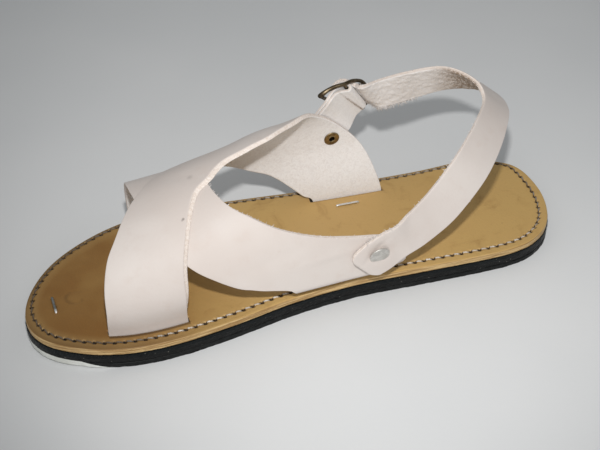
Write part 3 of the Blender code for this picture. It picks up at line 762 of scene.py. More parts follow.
def leather_sheet(name, middle, normal, edge_gap, thick, values, stands_for, rough=FLESH_ROUGH, slant=0.0):
    """Closed leather piece: a grain face, a flesh face set off by a slant, and a cut wall round them."""
    rows, columns = middle.shape[:2]
    inside = np.clip(edge_gap / EDGE_ROUND, 0, 1)
    half = thick / 2 - EDGE_ROUND + EDGE_ROUND * np.sqrt(1 - (1 - inside) ** 2)
    fibre = soft_noise(middle, FIBRE_SIZES[0], 3) + 0.6 * soft_noise(middle, FIBRE_SIZES[1], 4)
    grain = middle + normal * half[..., None]
    flesh = middle - normal * (half + rough * fibre * inside)[..., None] + slant
    loop = [(0, c) for c in range(columns)] + [(r, columns - 1) for r in range(1, rows)]
    loop += [(rows - 1, c) for c in range(columns - 2, -1, -1)] + [(r, 0) for r in range(rows - 2, 0, -1)]
    loop = np.array([r * columns + c for r, c in loop])
    count = rows * columns
    points = [grain.reshape(-1, 3), flesh.reshape(-1, 3)]
    outward = unit(middle - middle[:, columns // 2:columns // 2 + 1]).reshape(-1, 3)[loop]
    ragged = (RAGGED_DEEP * soft_noise(middle.reshape(-1, 3)[loop], RAGGED_SIZE, 5))[:, None] * outward
    for step in range(1, WALL_STEPS):
        share = step / WALL_STEPS
        between = points[0][loop] * (1 - share) + points[1][loop] * share
        points.append(between + ragged * math.sin(math.pi * share))
    around = np.arange(len(loop))
    levels = [loop] + [2 * count + step * len(loop) + around for step in range(WALL_STEPS - 1)]
    levels.append(loop + count)
    after = np.roll(around, -1)
    faces = quads(rows, columns) + quads(rows, columns, offset=count)
    for upper, lower in zip(levels, levels[1:]):
        faces += np.stack([upper, upper[after], lower[after], lower], axis=1).tolist()
    wall = (WALL_STEPS - 1) * len(loop)
    marks = {"flesh": np.concatenate([np.zeros(count), np.ones(count), np.full(wall, 0.5)])}
    cut = np.exp(-np.broadcast_to(edge_gap, (rows, columns)).ravel() / CUT_FADE)
    marks["cut"] = np.concatenate([0.8 * cut, 0.8 * cut, np.ones(wall)])
    for key, value in values.items():
        flat = np.broadcast_to(value, (rows, columns)).ravel()
        marks[key] = np.concatenate([flat, flat] + [flat[loop]] * (WALL_STEPS - 1))
    return add_piece(name, np.concatenate(points), faces, STRAP_LEATHER, stands_for, marks)


def edge_fuzz(name, roots, outward, normal, along, dense, reach, seed):
    """Loose raw fibres on a cut edge: roots along it, how many there are and how far they reach."""
    draw = np.random.default_rng(seed)
    parts = []
    spread = np.linspace(0, 1, 4)
    for root, out, up, run, many, far in zip(roots, outward, normal, along, dense, reach):
        for _ in range(int(many) + (draw.random() < many % 1)):
            lean = unit(out + up * draw.normal(0, 0.5) + run * draw.normal(0, 0.7))
            curl = unit(draw.normal(0, 1, 3)) * 0.7
            start = root + up * draw.uniform(-FUZZ_SPREAD, FUZZ_SPREAD)
            start = start + run * draw.uniform(-FUZZ_SHIFT, FUZZ_SHIFT)
            size = far * draw.uniform(0.35, 1.0)
            bent = spread[:, None] * lean + (spread**2)[:, None] * curl * 0.5
            thin = draw.uniform(FUZZ_THIN, FUZZ_THICK) * np.linspace(1.0, 0.35, len(spread))
            parts.append(tube(start + size * bent - FUZZ_ROOT * out, thin, 3))
    points, faces = joined(parts)
    values = {"flesh": np.full(len(points), 0.6), "soil_and_shade": np.zeros(len(points))}
    return add_piece(name, points, faces, STRAP_LEATHER, None, values)


# Materials


class Finish:
    """Short calls for the nodes of one procedural material."""

    def __init__(self, name):
        self.material = bpy.data.materials.new(name)
        self.material.use_nodes = True
        self.tree = self.material.node_tree
        self.shader = self.tree.nodes["Principled BSDF"]
        self.place = self.add("ShaderNodeTexCoord").outputs["Object"]

    def add(self, kind, inputs=None, **settings):
        made = self.tree.nodes.new(kind)
        for key, value in settings.items():
            setattr(made, key, value)
        for key, value in (inputs or {}).items():
            self.put(made.inputs[key], value)
        return made

    def put(self, socket, value):
        if isinstance(value, bpy.types.NodeSocket):
            self.tree.links.new(value, socket)
        else:
            socket.default_value = value

    def set(self, **inputs):
        for key, value in inputs.items():
            self.put(self.shader.inputs[key.replace("_", " ")], value)

    def stretched(self, x, y, z):
        """Place with each direction scaled, for streaks."""
        inputs = {0: self.place, 1: (x, y, z)}
        return self.add("ShaderNodeVectorMath", inputs, operation="MULTIPLY").outputs[0]

    def noise(self, scale, detail=3.0, rough=0.55, place=None, bend=0.0):
        inputs = {"Vector": place or self.place, "Scale": scale, "Detail": detail}
        inputs.update({"Roughness": rough, "Distortion": bend})
        return self.add("ShaderNodeTexNoise", inputs).outputs["Fac"]

    def cells(self, scale, feature="F1", place=None):
        inputs = {"Vector": place or self.place, "Scale": scale}
        return self.add("ShaderNodeTexVoronoi", inputs, feature=feature).outputs["Distance"]

    def mark(self, name):
        return self.add("ShaderNodeAttribute", attribute_name=name).outputs["Fac"]

    def step(self, value, low, high, to_low=0.0, to_high=1.0):
        """Soft step of a value between two levels."""
        inputs = {"Value": value, "From Min": low, "From Max": high, "To Min": to_low, "To Max": to_high}
        return self.add("ShaderNodeMapRange", inputs, interpolation_type="SMOOTHSTEP").outputs["Result"]

    def math(self, operation, first, second):
        return self.add("ShaderNodeMath", {0: first, 1: second}, operation=operation).outputs[0]

    def times(self, first, second):
        return self.math("MULTIPLY", first, second)

    def mix(self, share, *colours):
        """Mix of two colours by a share of the second."""
        made = self.add("ShaderNodeMix", {0: share}, data_type="RGBA")
        for index, colour in zip((6, 7), colours):
            plain = not isinstance(colour, bpy.types.NodeSocket)
            self.put(made.inputs[index], (*colour, 1.0) if plain else colour)
        return made.outputs[2]

    def axis(self, name):
        return self.add("ShaderNodeSeparateXYZ", {0: self.place}).outputs[name]

    def facing_up(self):
        normal = self.add("ShaderNodeNewGeometry").outputs["Normal"]
        return self.add("ShaderNodeSeparateXYZ", {0: normal}).outputs["Z"]

    def gap(self, centre):
        """Distance from a place."""
        inputs = {0: self.place, 1: centre}
        return self.add("ShaderNodeVectorMath", inputs, operation="DISTANCE").outputs["Value"]

    def near(self, centre, wide):
        """1 at a place, fading to 0 at a distance."""
        return self.step(self.gap(centre), 0.0, wide, 1.0, 0.0)

    def bump(self, height, distance, strength=1.0, over=None):
        inputs = {"Height": height, "Distance": distance, "Strength": strength}
        if over:
            inputs["Normal"] = over
        return self.add("ShaderNodeBump", inputs).outputs[0]


def strap_leather():
    """Undyed pale leather: close grain outside, fibrous flesh inside, raw cut edges."""
    f = Finish("strap_leather_pale")
    flesh, cut, soil_and_shade = f.mark("flesh"), f.mark("cut"), f.mark("soil_and_shade")
    broad, patch, fine = f.noise(24, 3), f.noise(130, 4, 0.6), f.noise(900, 3, 0.6)
    fibres = f.noise(520, 4, 0.7, bend=1.6)
    grain = f.mix(f.step(broad, 0.32, 0.68), (0.606, 0.540, 0.500), (0.646, 0.590, 0.553))
    grain = f.mix(f.step(patch, 0.52, 0.78, 0.0, 0.45), grain, (0.580, 0.497, 0.447))
    grain = f.mix(f.step(fine, 0.60, 0.80, 0.0, 0.20), grain, (0.54, 0.45, 0.40))
    raw = f.mix(f.step(fibres, 0.28, 0.62), (0.750, 0.714, 0.694), (0.850, 0.826, 0.812))
    edge = f.mix(f.step(fibres, 0.30, 0.66), (0.680, 0.575, 0.500), (0.820, 0.745, 0.690))
    colour = f.mix(f.step(flesh, 0.35, 0.75), grain, raw)
    colour = f.mix(f.step(cut, 0.35, 0.95), colour, edge)
    # Flesh side darkened brown where marked: worn flesh, and painted shade round the ankle strap's heel turn
    # and in the tab's slit
    worn = f.times(soil_and_shade, f.step(flesh, 0.3, 0.7))
    worn = f.times(worn, f.step(fibres, 0.34, 0.60, 0.16, 1.0))
    colour = f.mix(worn, colour, (0.215, 0.140, 0.085))
    # Dark spots: a faint smudge, and painted shade where punched holes are shown without geometry
    for place, size, strength in STRAP_MARKS:
        colour = f.mix(f.times(f.near(place, size), strength), colour, (0.050, 0.038, 0.030))
    rough = f.step(f.math("ADD", flesh, cut), 0.0, 0.8, 0.52, 0.92)
    pores = f.math("ADD", f.cells(620), f.times(f.noise(1500, 2), 0.6))
    shallow = f.bump(pores, 0.00006, 0.5)
    deep = f.times(fibres, f.step(f.math("ADD", flesh, cut), 0.15, 0.9))
    f.set(Base_Color=colour, Roughness=rough, Normal=f.bump(deep, 0.0004, 0.6, shallow))
    f.set(Specular_IOR_Level=0.30, Sheen_Weight=0.06, Sheen_Roughness=0.5)
    return f.material


def footbed_leather():
    """Tan leather: darker towards the toe, blotched, with pores and a layered cut edge."""
    f = Finish("footbed_leather_tan")
    ahead = f.step(f.axis("X"), 0.018, 0.096)
    back = f.step(f.axis("X"), -0.125, -0.02)
    broad, patch, fine = f.noise(20, 3), f.noise(75, 5, 0.6, bend=0.8), f.noise(700, 3, 0.6)
    # Darker at the heel end: partly painted shade of the ankle strap, partly standing in for the heel stamp's
    # print
    pale = f.mix(back, (0.490, 0.312, 0.112), (0.515, 0.330, 0.125))
    rim = f.mark("rim")
    colour = f.mix(f.times(ahead, f.math("SUBTRACT", 1.0, rim)), pale, (0.218, 0.106, 0.026))
    colour = f.mix(f.times(ahead, rim), colour, (0.180, 0.098, 0.032))
    colour = f.mix(f.step(broad, 0.38, 0.72, 0.0, 0.30), colour, (0.540, 0.360, 0.125))
    colour = f.mix(f.step(patch, 0.52, 0.80, 0.0, 0.42), colour, (0.240, 0.115, 0.032))
    colour = f.mix(f.step(fine, 0.58, 0.80, 0.0, 0.30), colour, (0.190, 0.090, 0.028))
    around = f.gap(RING_MARK)
    within = f.step(around, RING_RADIUS - RING_WIDE, RING_RADIUS)
    worn = f.times(within, f.step(around, RING_RADIUS, RING_RADIUS + RING_WIDE, 1.0, 0.0))
    worn = f.times(worn, f.step(f.noise(160, 2), 0.42, 0.62, 0.0, 0.34))
    colour = f.mix(worn, colour, (0.085, 0.042, 0.014))
    layers = f.noise(60, 3, 0.6, place=f.stretched(1.0, 1.0, 22.0))
    strands = f.noise(520, 3, 0.7, place=f.stretched(1.0, 1.0, 3.0))
    edge = f.mix(f.step(layers, 0.36, 0.64), (0.330, 0.190, 0.070), (0.600, 0.420, 0.200))
    edge = f.mix(f.step(strands, 0.55, 0.80, 0.0, 0.6), edge, (0.22, 0.12, 0.045))
    upward = f.step(f.facing_up(), 0.45, 0.90)
    colour = f.mix(upward, edge, colour)
    # Painted shade, near black: inside stitch holes and slots, along the slot lips, round the staples and
    # along the edge where the stitches run close to it
    colour = f.mix(f.step(f.mark("hole"), 0.15, 0.60), colour, (0.010, 0.006, 0.004))
    rough = f.step(patch, 0.30, 0.75, 0.42, 0.58)
    pores = f.math("ADD", f.cells(760), f.times(fine, 0.8))
    ragged = f.times(f.math("ADD", layers, strands), f.math("SUBTRACT", 1.0, upward))
    f.set(Base_Color=colour, Roughness=rough)
    f.set(Normal=f.bump(ragged, 0.0005, 0.8, f.bump(pores, 0.00007, 0.55)), Specular_IOR_Level=0.28)
    return f.material


def black_rubber():
    """Ground black rubber edge: fine upright ribs and a painted bluish highlight near its top, grey scuffs
    and pale specks.
    """
    f = Finish("black_rubber_ground")
    high = f.step(f.axis("Z"), 0.0052, 0.0064)
    upright = f.stretched(1.0, 1.0, 0.0)
    ribs = f.add("ShaderNodeTexWave", {"Vector": upright, "Scale": 520.0, "Distortion": 1.5}).outputs["Fac"]
    scuff = f.noise(90, 4, 0.65, place=f.stretched(1.0, 1.0, 9.0))
    specks = f.cells(330)
    # Painted highlight: the upper band of the wall is lighter and bluish
    colour = f.mix(high, (0.0022, 0.0026, 0.0026), (0.0050, 0.0074, 0.0085))
    colour = f.mix(f.step(scuff, 0.58, 0.82, 0.0, 0.65), colour, (0.016, 0.020, 0.021))
    colour = f.mix(f.step(specks, 0.05, 0.10, 0.80, 0.0), colour, (0.24, 0.23, 0.20))
    height = f.math("ADD", f.times(ribs, high), f.times(f.noise(700, 3), 1.2))
    f.set(Base_Color=colour, Roughness=f.step(scuff, 0.3, 0.8, 0.40, 0.60))
    f.set(Normal=f.bump(height, 0.00040, 1.0), Specular_IOR_Level=0.22)
    return f.material


def pale_rubber():
    """Pale crepe rubber with its side wall dyed black except at toe and heel."""
    f = Finish("pale_rubber_crepe")
    dye = f.math("ADD", f.mark("dye"), f.times(f.math("SUBTRACT", f.noise(600, 3), 0.5), 0.5))
    pebble = f.noise(420, 4, 0.6)
    pale = f.mix(f.step(f.noise(60, 4), 0.35, 0.7), (0.58, 0.59, 0.55), (0.70, 0.71, 0.68))
    pale = f.mix(f.step(pebble, 0.55, 0.8, 0.0, 0.4), pale, (0.42, 0.42, 0.38))
    dark = f.mix(f.step(pebble, 0.4, 0.8), (0.0030, 0.0034, 0.0034), (0.014, 0.016, 0.016))
    f.set(Base_Color=f.mix(f.step(dye, 0.35, 0.65), pale, dark))
    f.set(Roughness=f.step(pebble, 0.3, 0.8, 0.45, 0.7), Specular_IOR_Level=0.22)
    f.set(Normal=f.bump(pebble, 0.00035, 0.8))
    return f.material


def metal(name, dark, light, rough_low, rough_high, grain, scratch, painted_light=None):
    """Handled metal: tarnish in patches, fine scratches and uneven gloss."""
    f = Finish(name)
    patch = f.noise(grain, 4, 0.65, bend=0.5)
    lines = f.noise(900, 3, 0.7, place=f.stretched(1.0, 6.0, 1.0))
    colour = f.mix(f.step(patch, 0.34, 0.68), dark, light)
    colour = f.mix(f.step(lines, 0.60, 0.82, 0.0, scratch), colour, tuple(0.5 * c for c in dark))
    # Painted light where marked: the given colour laid over the metal, a highlight on the toe staple's end
    # and shade in the lateral rivet's hollow
    if painted_light:
        colour = f.mix(f.mark("painted_light"), colour, painted_light)
    f.set(Base_Color=colour, Metallic=1.0, Roughness=f.step(patch, 0.3, 0.75, rough_high, rough_low))
    f.set(Normal=f.bump(f.math("ADD", patch, f.times(lines, 0.5)), 0.00008, 0.7))
    return f.material


def waxed_thread():
    """Cream waxed thread, dark brown where its tone mark is low: painted shade where it dips into its holes,
    and darker on the far side, round the toe and at the heel end.
    """
    f = Finish("thread_cream")
    patch, strands = f.noise(160, 3), f.noise(1800, 3, 0.7)
    unbrowned = f.mix(f.step(patch, 0.35, 0.68), (0.60, 0.53, 0.45), (0.80, 0.76, 0.70))
    colour = f.mix(f.mark("tone"), (0.075, 0.045, 0.022), unbrowned)
    colour = f.mix(f.step(strands, 0.5, 0.8, 0.0, 0.4), colour, (0.16, 0.11, 0.07))
    f.set(Base_Color=colour, Roughness=f.step(strands, 0.3, 0.7, 0.5, 0.75))
    f.set(Normal=f.bump(strands, 0.00010, 0.7), Specular_IOR_Level=0.4)
    return f.material


def floor_finish():
    """Plain pale cloth-covered floor."""
    f = Finish("pale_floor")
    cloud, weave = f.noise(5, 3), f.noise(420, 3, 0.6)
    colour = f.mix(f.step(cloud, 0.3, 0.7), (0.700, 0.710, 0.716), (0.735, 0.741, 0.744))
    f.set(Base_Color=colour, Roughness=f.step(weave, 0.3, 0.7, 0.82, 0.95))
    f.set(Normal=f.bump(weave, 0.00015, 0.25), Specular_IOR_Level=0.2)
    return f.material


STRAP_LEATHER = strap_leather()
FOOTBED_LEATHER = footbed_leather()
BLACK_RUBBER = black_rubber()
PALE_RUBBER = pale_rubber()
THREAD = waxed_thread()
# Painted shade for the lateral rivet's hollow, and a painted highlight for the toe staple's end
RIVET_HOLLOW_SHADE = (0.012, 0.009, 0.006)
STAPLE_TIP_HIGHLIGHT = (0.9, 0.9, 0.89)
DARK_BRASS = metal("dark_brass_worn", (0.075, 0.056, 0.034), (0.21, 0.165, 0.105), 0.30, 0.55, 260, 0.5)
RIVET_BRASS = metal("rivet_brass_aged", (0.20, 0.145, 0.072), (0.42, 0.33, 0.19), 0.26, 0.48, 320, 0.4,
                    RIVET_HOLLOW_SHADE)
RIVET_STEEL = metal("rivet_steel_dull", (0.60, 0.58, 0.545), (0.74, 0.72, 0.685), 0.46, 0.64, 300, 0.3)
STAPLE_STEEL = metal("staple_steel_bright", (0.70, 0.70, 0.69), (0.92, 0.92, 0.91), 0.32, 0.46, 380, 0.2)
STAPLE_DULL = metal("staple_steel_dull", (0.22, 0.225, 0.21), (0.36, 0.365, 0.35), 0.36, 0.52, 380, 0.3,
                    STAPLE_TIP_HIGHLIGHT)


# Straps


def vamp_strap(name, table, creases, oblique):
    """One wide strap laid on the last, with creases and an obliquely cut rear edge."""
    along_share = np.linspace(0, 1, STRAP_STEPS + 1)[:, None]
    rows = cuts_at(table, along_share[:, 0])
    front_at, front_angle, rear_at, rear_angle, front_lift, rear_lift = rows.T[:, :, None]
    ends = last_point(front_at, front_angle) - last_point(rear_at, rear_angle)
    width = np.linalg.norm(ends, axis=-1)
    share = edge_columns(STRAP_COLUMNS, width.mean())[None, :]
    station = rear_at + (front_at - rear_at) * share
    angle = np.clip(rear_angle + (front_angle - rear_angle) * share, 0.0, 180.0)
    lift = (rear_lift + (front_lift - rear_lift) * share) * STRAP_THICK
    base, normal = last_point(station, angle) + TO_ORIGIN, last_normal(station, angle)
    free = ease((base[..., 2] - INSOLE_TOP) / FREE_HEIGHT)
    along = run_length(base[:, share.shape[1] // 2])
    height = trough(along[:, None], share * width, creases)
    height = height + STRAP_WAVE * soft_noise(base, STRAP_WAVE_SIZE, 1)
    middle = base + normal * (lift + STRAP_THICK / 2 + height * free)[..., None]
    gap = np.minimum(share, 1 - share) * width
    outward = unit(base[:, :1] - base[:, INNER_COLUMN, None])
    eased = 1 - OBLIQUE_LOSS * ease((along_share - OBLIQUE_EASE) / OBLIQUE_BLEND)
    risen = ease((base[..., 2] - INSOLE_TOP) / OBLIQUE_HEIGHT) * eased
    slant = outward * (oblique * risen * np.clip(1 - share * width / OBLIQUE_WIDE, 0, 1))[..., None]
    leather_sheet(name, middle, normal, gap, STRAP_THICK, {"soil_and_shade": 0.0 * gap}, "upper", slant=slant)
    return middle, normal


def fuzz_edge(name, middle, normal, column, dense, reach, seed):
    """Raw fibres along one long edge of a strap."""
    inner = INNER_COLUMN if column == 0 else -1 - INNER_COLUMN
    roots = middle[:, column]
    outward = unit(roots - middle[:, inner])
    along = unit(np.gradient(roots, axis=0))
    edge_fuzz(name, roots, outward, normal[:, column], along, dense, np.broadcast_to(reach, len(roots)), seed)


def make_vamp():
    """Both wide straps with the raw fibres of their rear edges."""
    middle, normal = vamp_strap("over_strap", OVER_STRAP, OVER_CREASES, OVER_OBLIQUE)
    sparse = 0.35 + 0.6 * (soft_noise(middle[:, 0], 0.006, 11) > 0.1)
    fuzz_edge("over_strap_fibres", middle, normal, 0, sparse, OVER_FUZZ, SEED)
    middle, normal = vamp_strap("under_strap", UNDER_STRAP, UNDER_CREASES, UNDER_OBLIQUE)
    thick = 0.8 + 2.6 * np.clip(soft_noise(middle[:, 0], 0.004, 12), 0, 1)
    fuzz_edge("under_strap_fibres", middle, normal, 0, thick, UNDER_FUZZ, SEED + 1)


def make_ankle_strap():
    """Sling-back strap with its rounded riveted end, raw edges, and flesh darkened by wear and painted shade
    round the heel.
    """
    drawn, off, low_reach, top_reach = np.array(ANKLE_DRAWN).T
    low = buckle_point(low_reach, drawn, off) - TO_ORIGIN
    top = buckle_point(-top_reach, drawn, off) - TO_ORIGIN
    rows = np.concatenate([np.array(ANKLE_STRAP), np.concatenate([low, top], axis=1)])
    table = [tuple(row) for row in rows]
    share = edge_columns(ANKLE_COLUMNS, ANKLE_WIDE)[None, :]
    run = cuts_at(table, np.linspace(0, 1, ANKLE_STEPS + 1))
    centre = (run[:, :3] + run[:, 3:]) / 2
    along = run_length(centre)
    side_gap = np.minimum(share, 1 - share) * ANKLE_WIDE
    reach = np.clip(ANKLE_CORNER - side_gap, 0, ANKLE_CORNER)
    start = ANKLE_CORNER - np.sqrt(ANKLE_CORNER**2 - reach**2)
    place = along[:, None] + start * np.clip(1 - along[:, None] / CORNER_BLEND, 0, 1)
    at = np.interp(place, along, np.linspace(0, 1, ANKLE_STEPS + 1))
    cut = cuts_at(table, at)
    grid = cut[..., :3] * (1 - share[..., None]) + cut[..., 3:] * share[..., None]
    clear = STRAP_THICK + 3 * FIT_GAP + ANKLE_THICK / 2
    laid = ease((grid[..., 0] - LAID_START) / LAID_LENGTH) * (grid[..., 1] > 0)
    on_strap = last_side(grid[..., 0], grid[..., 2], 1) + clear
    grid[..., 1] += laid * (on_strap - grid[..., 1])
    grid = grid + TO_ORIGIN
    normal = grid_normal(grid)
    outside = grid - np.array(LOOP_MIDDLE) - TO_ORIGIN
    normal = normal * np.sign((normal * outside).sum(axis=-1).mean())
    height = trough(place, share * ANKLE_WIDE, ANKLE_CREASES)
    height = height + ANKLE_WAVE * soft_noise(grid, ANKLE_WAVE_SIZE, 2)
    rivet_start, rivet_way = rivet_axis(RIVET_MEDIAL)
    offset = grid - rivet_start
    from_rivet = np.linalg.norm(offset - (offset @ rivet_way)[..., None] * rivet_way, axis=-1)
    height -= RIVET_DENT * np.exp(-((from_rivet / DENT_RADIUS) ** 6)) * (place < DENT_REACH)
    middle = grid + normal * height[..., None]
    end_gap = np.minimum(along[:, None], along[-1] - along[:, None]) + 0 * share
    gap = np.minimum(side_gap + 0 * end_gap, end_gap)
    strength, dark_start, blend_in, dark_end, blend_out = HEEL_WEAR_AND_SHADE
    soil_and_shade = strength * ease((place - dark_start) / blend_in) * ease((dark_end - place) / blend_out)
    strength, dark_start, blend_in = TIP_WEAR
    soil_and_shade = soil_and_shade + strength * ease((place - dark_start) / blend_in)
    leather_sheet("ankle_strap", middle, normal, gap, ANKLE_THICK, {"soil_and_shade": soil_and_shade}, "ankle_strap", ANKLE_ROUGH)
    tufts = np.clip(soft_noise(middle[:, -1], 0.004, 13) + 0.1, 0, 1)
    raw = 0.4 + 3.4 * tufts * ease((0.09 - along) / 0.03)
    fuzz_edge("ankle_upper_fibres", middle, normal, -1, raw, ANKLE_UPPER_FUZZ, SEED + 2)
    drawn_part = ease((along - 0.160) / 0.012) * ease((0.207 - along) / 0.004)
    dense, reach = 0.30 + 14.0 * drawn_part, ANKLE_LOWER_FUZZ + DRAWN_FUZZ * drawn_part
    fuzz_edge("ankle_lower_fibres", middle, normal, 0, dense, reach, SEED + 3)


def make_tab():
    """Tab folded round the bar, both panels laid on the strap, with a slit under its fold painted dark as
    shade.
    """
    panel = cuts_at(TAB_PANEL, np.linspace(0, 1, TAB_STEPS + 1))
    fold = np.linspace(0, math.pi, FOLD_STEPS + 1)[1:-1]
    radius, toe_end, heel_end = TAB_PANEL[-1][1:]
    same = np.ones_like(fold)
    drawn = np.concatenate([panel[:, 0], radius * np.sin(fold), panel[::-1, 0]])
    off = np.concatenate([panel[:, 1], radius * np.cos(fold), -panel[::-1, 1]])
    toe_edge = np.concatenate([panel[:, 2], toe_end * same, panel[::-1, 2]])
    heel_edge = np.concatenate([panel[:, 3], heel_end * same, panel[::-1, 3]])
    width = (toe_edge + heel_edge)[:, None]
    share = edge_columns(TAB_COLUMNS, width.mean())[None, :]
    reach = width * share - toe_edge[:, None]
    grid = buckle_point(reach, drawn[:, None] + 0 * share, off[:, None] + 0 * share) - TO_ORIGIN
    layer = np.where(off > 0, 1.5 * TAB_THICK + FIT_GAP, 0.5 * TAB_THICK)[:, None]
    on_strap = last_side(grid[..., 0], grid[..., 2], -1) - STRAP_THICK - 2 * FIT_GAP - layer
    laid = ease((-drawn - TAB_LAID_START) / TAB_LAID_LENGTH)[:, None]
    grid[..., 1] += laid * (on_strap - grid[..., 1])
    grid = grid + TO_ORIGIN
    normal = grid_normal(grid)
    outer_row = len(panel) // 2
    normal = normal * (1.0 if normal[outer_row, :, 1].mean() < 0 else -1.0)
    run = run_length(grid.mean(axis=1))[:, None]
    end_gap = np.minimum(run, run[-1] - run) + 0 * share
    gap = np.minimum(np.minimum(share, 1 - share) * width, end_gap)
    # Slit across the panel's inner face, from its toe edge up to the fold's heel corner, also painted dark as
    # its shade
    from_toe = share + 0 * width
    slit = (drawn[:, None] - (SLIT_START + (SLIT_END - SLIT_START) * from_toe)) / SLIT_WIDE
    inner_face = np.where(off < 0, 1.0, 0.0)[:, None]
    slit = inner_face * np.exp(-(slit ** 2)) * (0.25 + 0.75 * ease((from_toe - 0.10) / 0.30))
    height = TAB_WAVE * soft_noise(grid, TAB_WAVE_SIZE, 6) + SLIT_DEEP * slit
    middle = grid + normal * height[..., None]
    # Flesh share 0.78 gives the whole tab the paler flesh colour: painted light brightening a face turned
    # away from the lamp
    marks = {"soil_and_shade": 0.06 + 1.2 * slit, "flesh": 0.78 + 0 * gap}
    leather_sheet("buckle_tab", middle, normal, gap, TAB_THICK, marks, "buckle_tab")


# Sole


def edge_line():
    """Closed line round the sole, heel first along the medial side, and shares of its length."""
    turn = np.linspace(0, math.pi, EDGE_SAMPLES)
    station = LENGTH * (1 - np.cos(turn)) / 2
    medial = np.stack([station, edge_side(station, 1)], axis=1)
    lateral = np.stack([station, edge_side(station, -1)], axis=1)[::-1]
    line = np.concatenate([medial, lateral[1:]])
    run = run_length(line)
    return line, run / run[-1], run[-1]


LINE, LINE_SHARE, LINE_LENGTH = edge_line()


def on_line(share):
    """Points of the edge line at shares of its length."""
    share = np.mod(share, 1.0)
    return np.stack([np.interp(share, LINE_SHARE, LINE[:, c]) for c in (0, 1)], axis=-1)


def line_way(share):
    """Direction of the edge line."""
    return unit(on_line(share + LINE_STEP) - on_line(share - LINE_STEP))


def ring(share, inset):
    """Points round the sole at a distance inside its edge."""
    way = line_way(share)
    outward = np.stack([-way[..., 1], way[..., 0]], axis=-1)
    return on_line(share) - outward * np.asarray(inset)[..., None]


def stitch_inset(share):
    """Distance of the stitch line inside the edge: it runs nearer the edge on the lateral side."""
    way = line_way(share)
    at_toe = ease(on_line(share)[..., 0] / LENGTH)
    turn_in = 0.10 + 0.25 * at_toe
    return STITCH_INSET + (STITCH_LATERAL - STITCH_INSET) * ease(turn_in - way[..., 0])


def to_spine(points, share):
    """Points moved towards the sole's middle line by a share."""
    station = np.clip(points[:, 0], SPINE_START, SPINE_END)
    spine = np.stack([station, smooth_column(PLAN, 1, station)], axis=1)
    return points * (1 - share) + spine * share


def sole_piece(name, rings, material, values=None):
    """Closed piece from rings round the sole, shut at its first and last ring on the middle line."""
    rings = np.array(rings)
    points = rings.reshape(-1, 3) + TO_ORIGIN
    faces = quads(len(rings), rings.shape[1], wrap=True)
    return add_piece(name, points, faces, material, name, values, weld=True)


def rubber_layer(name, low, high, material, dye=None):
    """One rubber layer: ground wall with soft edges, slightly uneven, and flat faces."""
    share = (np.arange(SOLE_STEPS) + 0.5) / SOLE_STEPS
    bevel = RUBBER_BEVEL
    wall = [(bevel, low), (0.3 * bevel, low + 0.3 * bevel), (0.0, low + bevel)]
    wall += [(0.0, z) for z in np.linspace(low + bevel, high - bevel, 12)[1:-1]]
    wall += [(0.0, high - bevel), (0.3 * bevel, high - 0.3 * bevel), (bevel, high)]
    rings = []
    rim = ring(share, np.full(SOLE_STEPS, bevel))
    for part in (1.0, 0.7, 0.4, 0.15):
        rings.append((to_spine(rim, part), low))
    for inset, z in wall:
        outer = ring(share, np.full(SOLE_STEPS, inset))
        spot = raised(outer, z)
        uneven = 0.00014 * soft_noise(spot * (1, 1, 2.5), 0.0045, 21)
        uneven = uneven + 0.00012 * soft_noise(spot, 0.0012, 22)
        rings.append((ring(share, inset - np.clip(uneven, -0.00025, 0.00012)), z))
    for part in (0.15, 0.4, 0.7, 1.0):
        rings.append((to_spine(rim, part), high))
    made = [raised(xy, z + spring(xy[:, 0])) for xy, z in rings]
    values = {"dye": np.concatenate([dye(xy, z) for xy, z in rings])} if dye else None
    return sole_piece(name, made, material, values)


def wall_dye(points, height):
    """1 where the pale layer's wall is dyed black: it fades out under the toe and behind the heel."""
    station = points[:, 0]
    off_middle = points[:, 1] - smooth_column(PLAN, 1, station)
    toe_start = np.where(off_middle > 0, BARE_TOE_MEDIAL, BARE_TOE_LATERAL)
    toe = BARE_TOE * ease((station - toe_start) / BARE_TOE_BLEND)
    heel = BARE_HEEL * ease((BARE_HEEL_END - station) / BARE_HEEL_BLEND)
    bare = np.maximum(toe, heel)
    half = smooth_column(PLAN, 2, station) * end_rounding(station)
    on_wall = ease((np.abs(off_middle) - half + 0.002) / 0.0015)
    end = np.maximum(station < 0.004, station > LENGTH - 0.006)
    return ease((height - bare) / 0.0005 + 0.5) * np.maximum(on_wall, end)


def slot_spans():
    """Strap slots: rear station, front station and side."""
    spans = []
    for table in (OVER_STRAP, UNDER_STRAP):
        cuts = cuts_at(table, np.linspace(0, 1, CUT_SAMPLES))
        for seated, side in ((cuts[:3], 1), (cuts[-3:], -1)):
            spans.append((seated[:, 2].min() - SLOT_GAP, seated[:, 0].max() + SLOT_GAP, side))
    return spans


